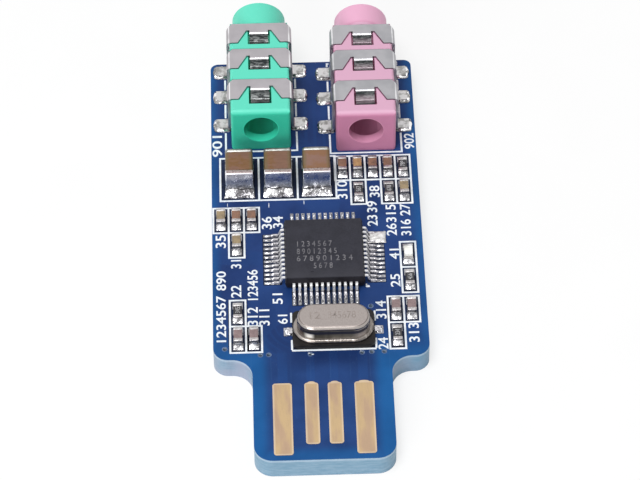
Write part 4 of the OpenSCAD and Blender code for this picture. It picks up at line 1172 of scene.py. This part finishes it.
# %% Numbers on the board
UPWARDS = math.pi / 2
BOARD_NUMBERS = [  # words, x of the middle, first y, last y, text height
    ("310", 2.54, 29.07, 31.28, 0.92), ("38", 5.44, 29.19, 30.57, 0.92),
    ("39", 5.14, 27.38, 28.72, 0.92), ("23", 5.11, 25.76, 27.04, 0.92),
    ("315", 6.80, 26.15, 28.24, 0.92), ("26", 6.77, 24.57, 25.98, 0.92),
    ("27", 8.08, 26.90, 28.28, 0.92), ("316", 8.06, 24.53, 26.43, 0.92),
    ("36", -4.34, 25.71, 27.18, 0.92), ("34", -3.34, 25.81, 27.21, 0.92),
    ("35", -8.47, 23.63, 25.12, 0.92), ("31", -7.13, 21.20, 22.19, 0.92),
    ("41", 6.89, 21.80, 23.00, 0.86), ("25", 6.84, 18.62, 20.07, 0.86),
    ("22", -7.17, 17.85, 19.26, 0.90), ("312", -5.76, 14.64, 16.71, 0.92),
    ("311", -4.75, 14.62, 16.42, 0.92), ("51", -3.55, 17.00, 18.21, 0.88),
    ("61", -3.16, 14.75, 15.78, 0.86), ("314", 5.43, 15.03, 17.06, 0.92),
    ("24", 5.46, 11.63, 12.93, 0.88), ("313", 8.18, 12.35, 14.47, 0.92),
    ("901", -8.68, 34.60, 37.20, 0.90), ("902", 8.86, 34.99, 36.91, 0.90),
    ("1234567", -8.51, 12.90, 18.10, 0.86), ("890", -8.47, 18.72, 20.91, 0.86),
    ("123456", -5.71, 17.54, 20.99, 0.92),
]
words = [row[0] for row in BOARD_NUMBERS]
spots = [(x, (first + last) / 2, last - first, tall) for _, x, first, last, tall in BOARD_NUMBERS]
piece_from(print_words(words, spots, UPWARDS, 0.0), "printed_numbers", finishes["white_print"],
           "white_print", sharp=30)

# %% [markdown]
# The chip has four lines of figures, each resistor has three figures, and the can has a faint row of
# them. Their ink is thinner than the board's and greyer, because it is lasered or stamped.

# %% Numbers on the chip, the resistors and the can
def height_over_board(name):
    """The top of a solid over the board's top face, in millimetres."""
    return (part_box(name)[1].z - board_top) / MM


CHIP_LINES = [("1 2 3 4 5 6 7", -0.17, 22.62, 3.05), ("8 9 0 1 2 3 4 5", 0.0, 21.75, 3.5),
              ("6 7 8 9 0 1 2 3 4", 0.68, 20.93, 4.9), ("5 6 7 8", 0.52, 20.08, 1.65)]
marks = print_words([row[0] for row in CHIP_LINES],
                    [(x, y, length, 0.62) for _, x, y, length in CHIP_LINES],
                    0.0, height_over_board("chip_body"), 0.006, 0.0)
chip_ink = solid("chip_ink", (0.085, 0.083, 0.095), (0.20, 0.195, 0.21), (0.5, 0.6), 0.07, 0.2)
piece_from(marks, "chip_marks", chip_ink, "white_print", sharp=30)

figures, places = [], []
for n, name in enumerate(RESISTORS):
    low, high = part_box(name)
    middle = (low + high) / 2 / MM
    figures.append(str(234 + 111 * n))
    places.append((middle.x + SHIFT_X, middle.y + ROOT_Y, 0.66, 0.42))
glaze_ink = solid("glaze_ink", (0.22, 0.22, 0.23), (0.46, 0.46, 0.47), (0.5, 0.6), 0.05, 0.2)
piece_from(print_words(figures, places, UPWARDS, height_over_board(RESISTORS[0]), 0.006, 0.01),
           "resistor_numbers", glaze_ink, "white_print", sharp=30)

can_ink = metal("can_ink", (0.26, 0.225, 0.21), (0.36, 0.32, 0.30), (0.40, 0.5), 0.09)
piece_from(print_words(["12", "345678"], [(-0.35, 13.85, 0.95, 0.78), (1.95, 13.85, 2.4, 0.78)],
                       0.0, height_over_board("crystal_can"), 0.004, 0.01),
           "can_numbers", can_ink, "crystal_can", sharp=30)

# %% [markdown]
# Printing leaves a few specks of white ink on the board. Each is a ball pressed nearly flat.

# %% Specks
SPECKS = [  # place across and along the board, then half width and half length, in millimetres
    (4.39, 18.77, 0.20, 0.13), (4.28, 18.95, 0.08, 0.14), (-2.65, 19.44, 0.07, 0.07),
    (3.45, 27.0, 0.12, 0.10), (-7.83, 28.7, 0.03, 0.22), (-4.11, 28.55, 0.035, 0.30),
    (-0.95, 28.8, 0.03, 0.26), (-0.98, 11.42, 0.10, 0.05), (-0.66, 11.28, 0.11, 0.05),
    (3.5, 11.5, 0.05, 0.04),
]
bm = bmesh.new()
for x, y, wide, long in SPECKS:
    dot = bmesh.ops.create_icosphere(bm, subdivisions=2, radius=1)["verts"]
    bmesh.ops.scale(bm, vec=(wide * MM, long * MM, 0.02 * MM), verts=dot)
    bmesh.ops.translate(bm, vec=on_card(x, y, 0.004), verts=dot)
piece_from(bm, "white_specks", finishes["white_print"], "white_print", sharp=60)

# %% [markdown]
# ## The end

# %% Finish
print("the card is dressed")
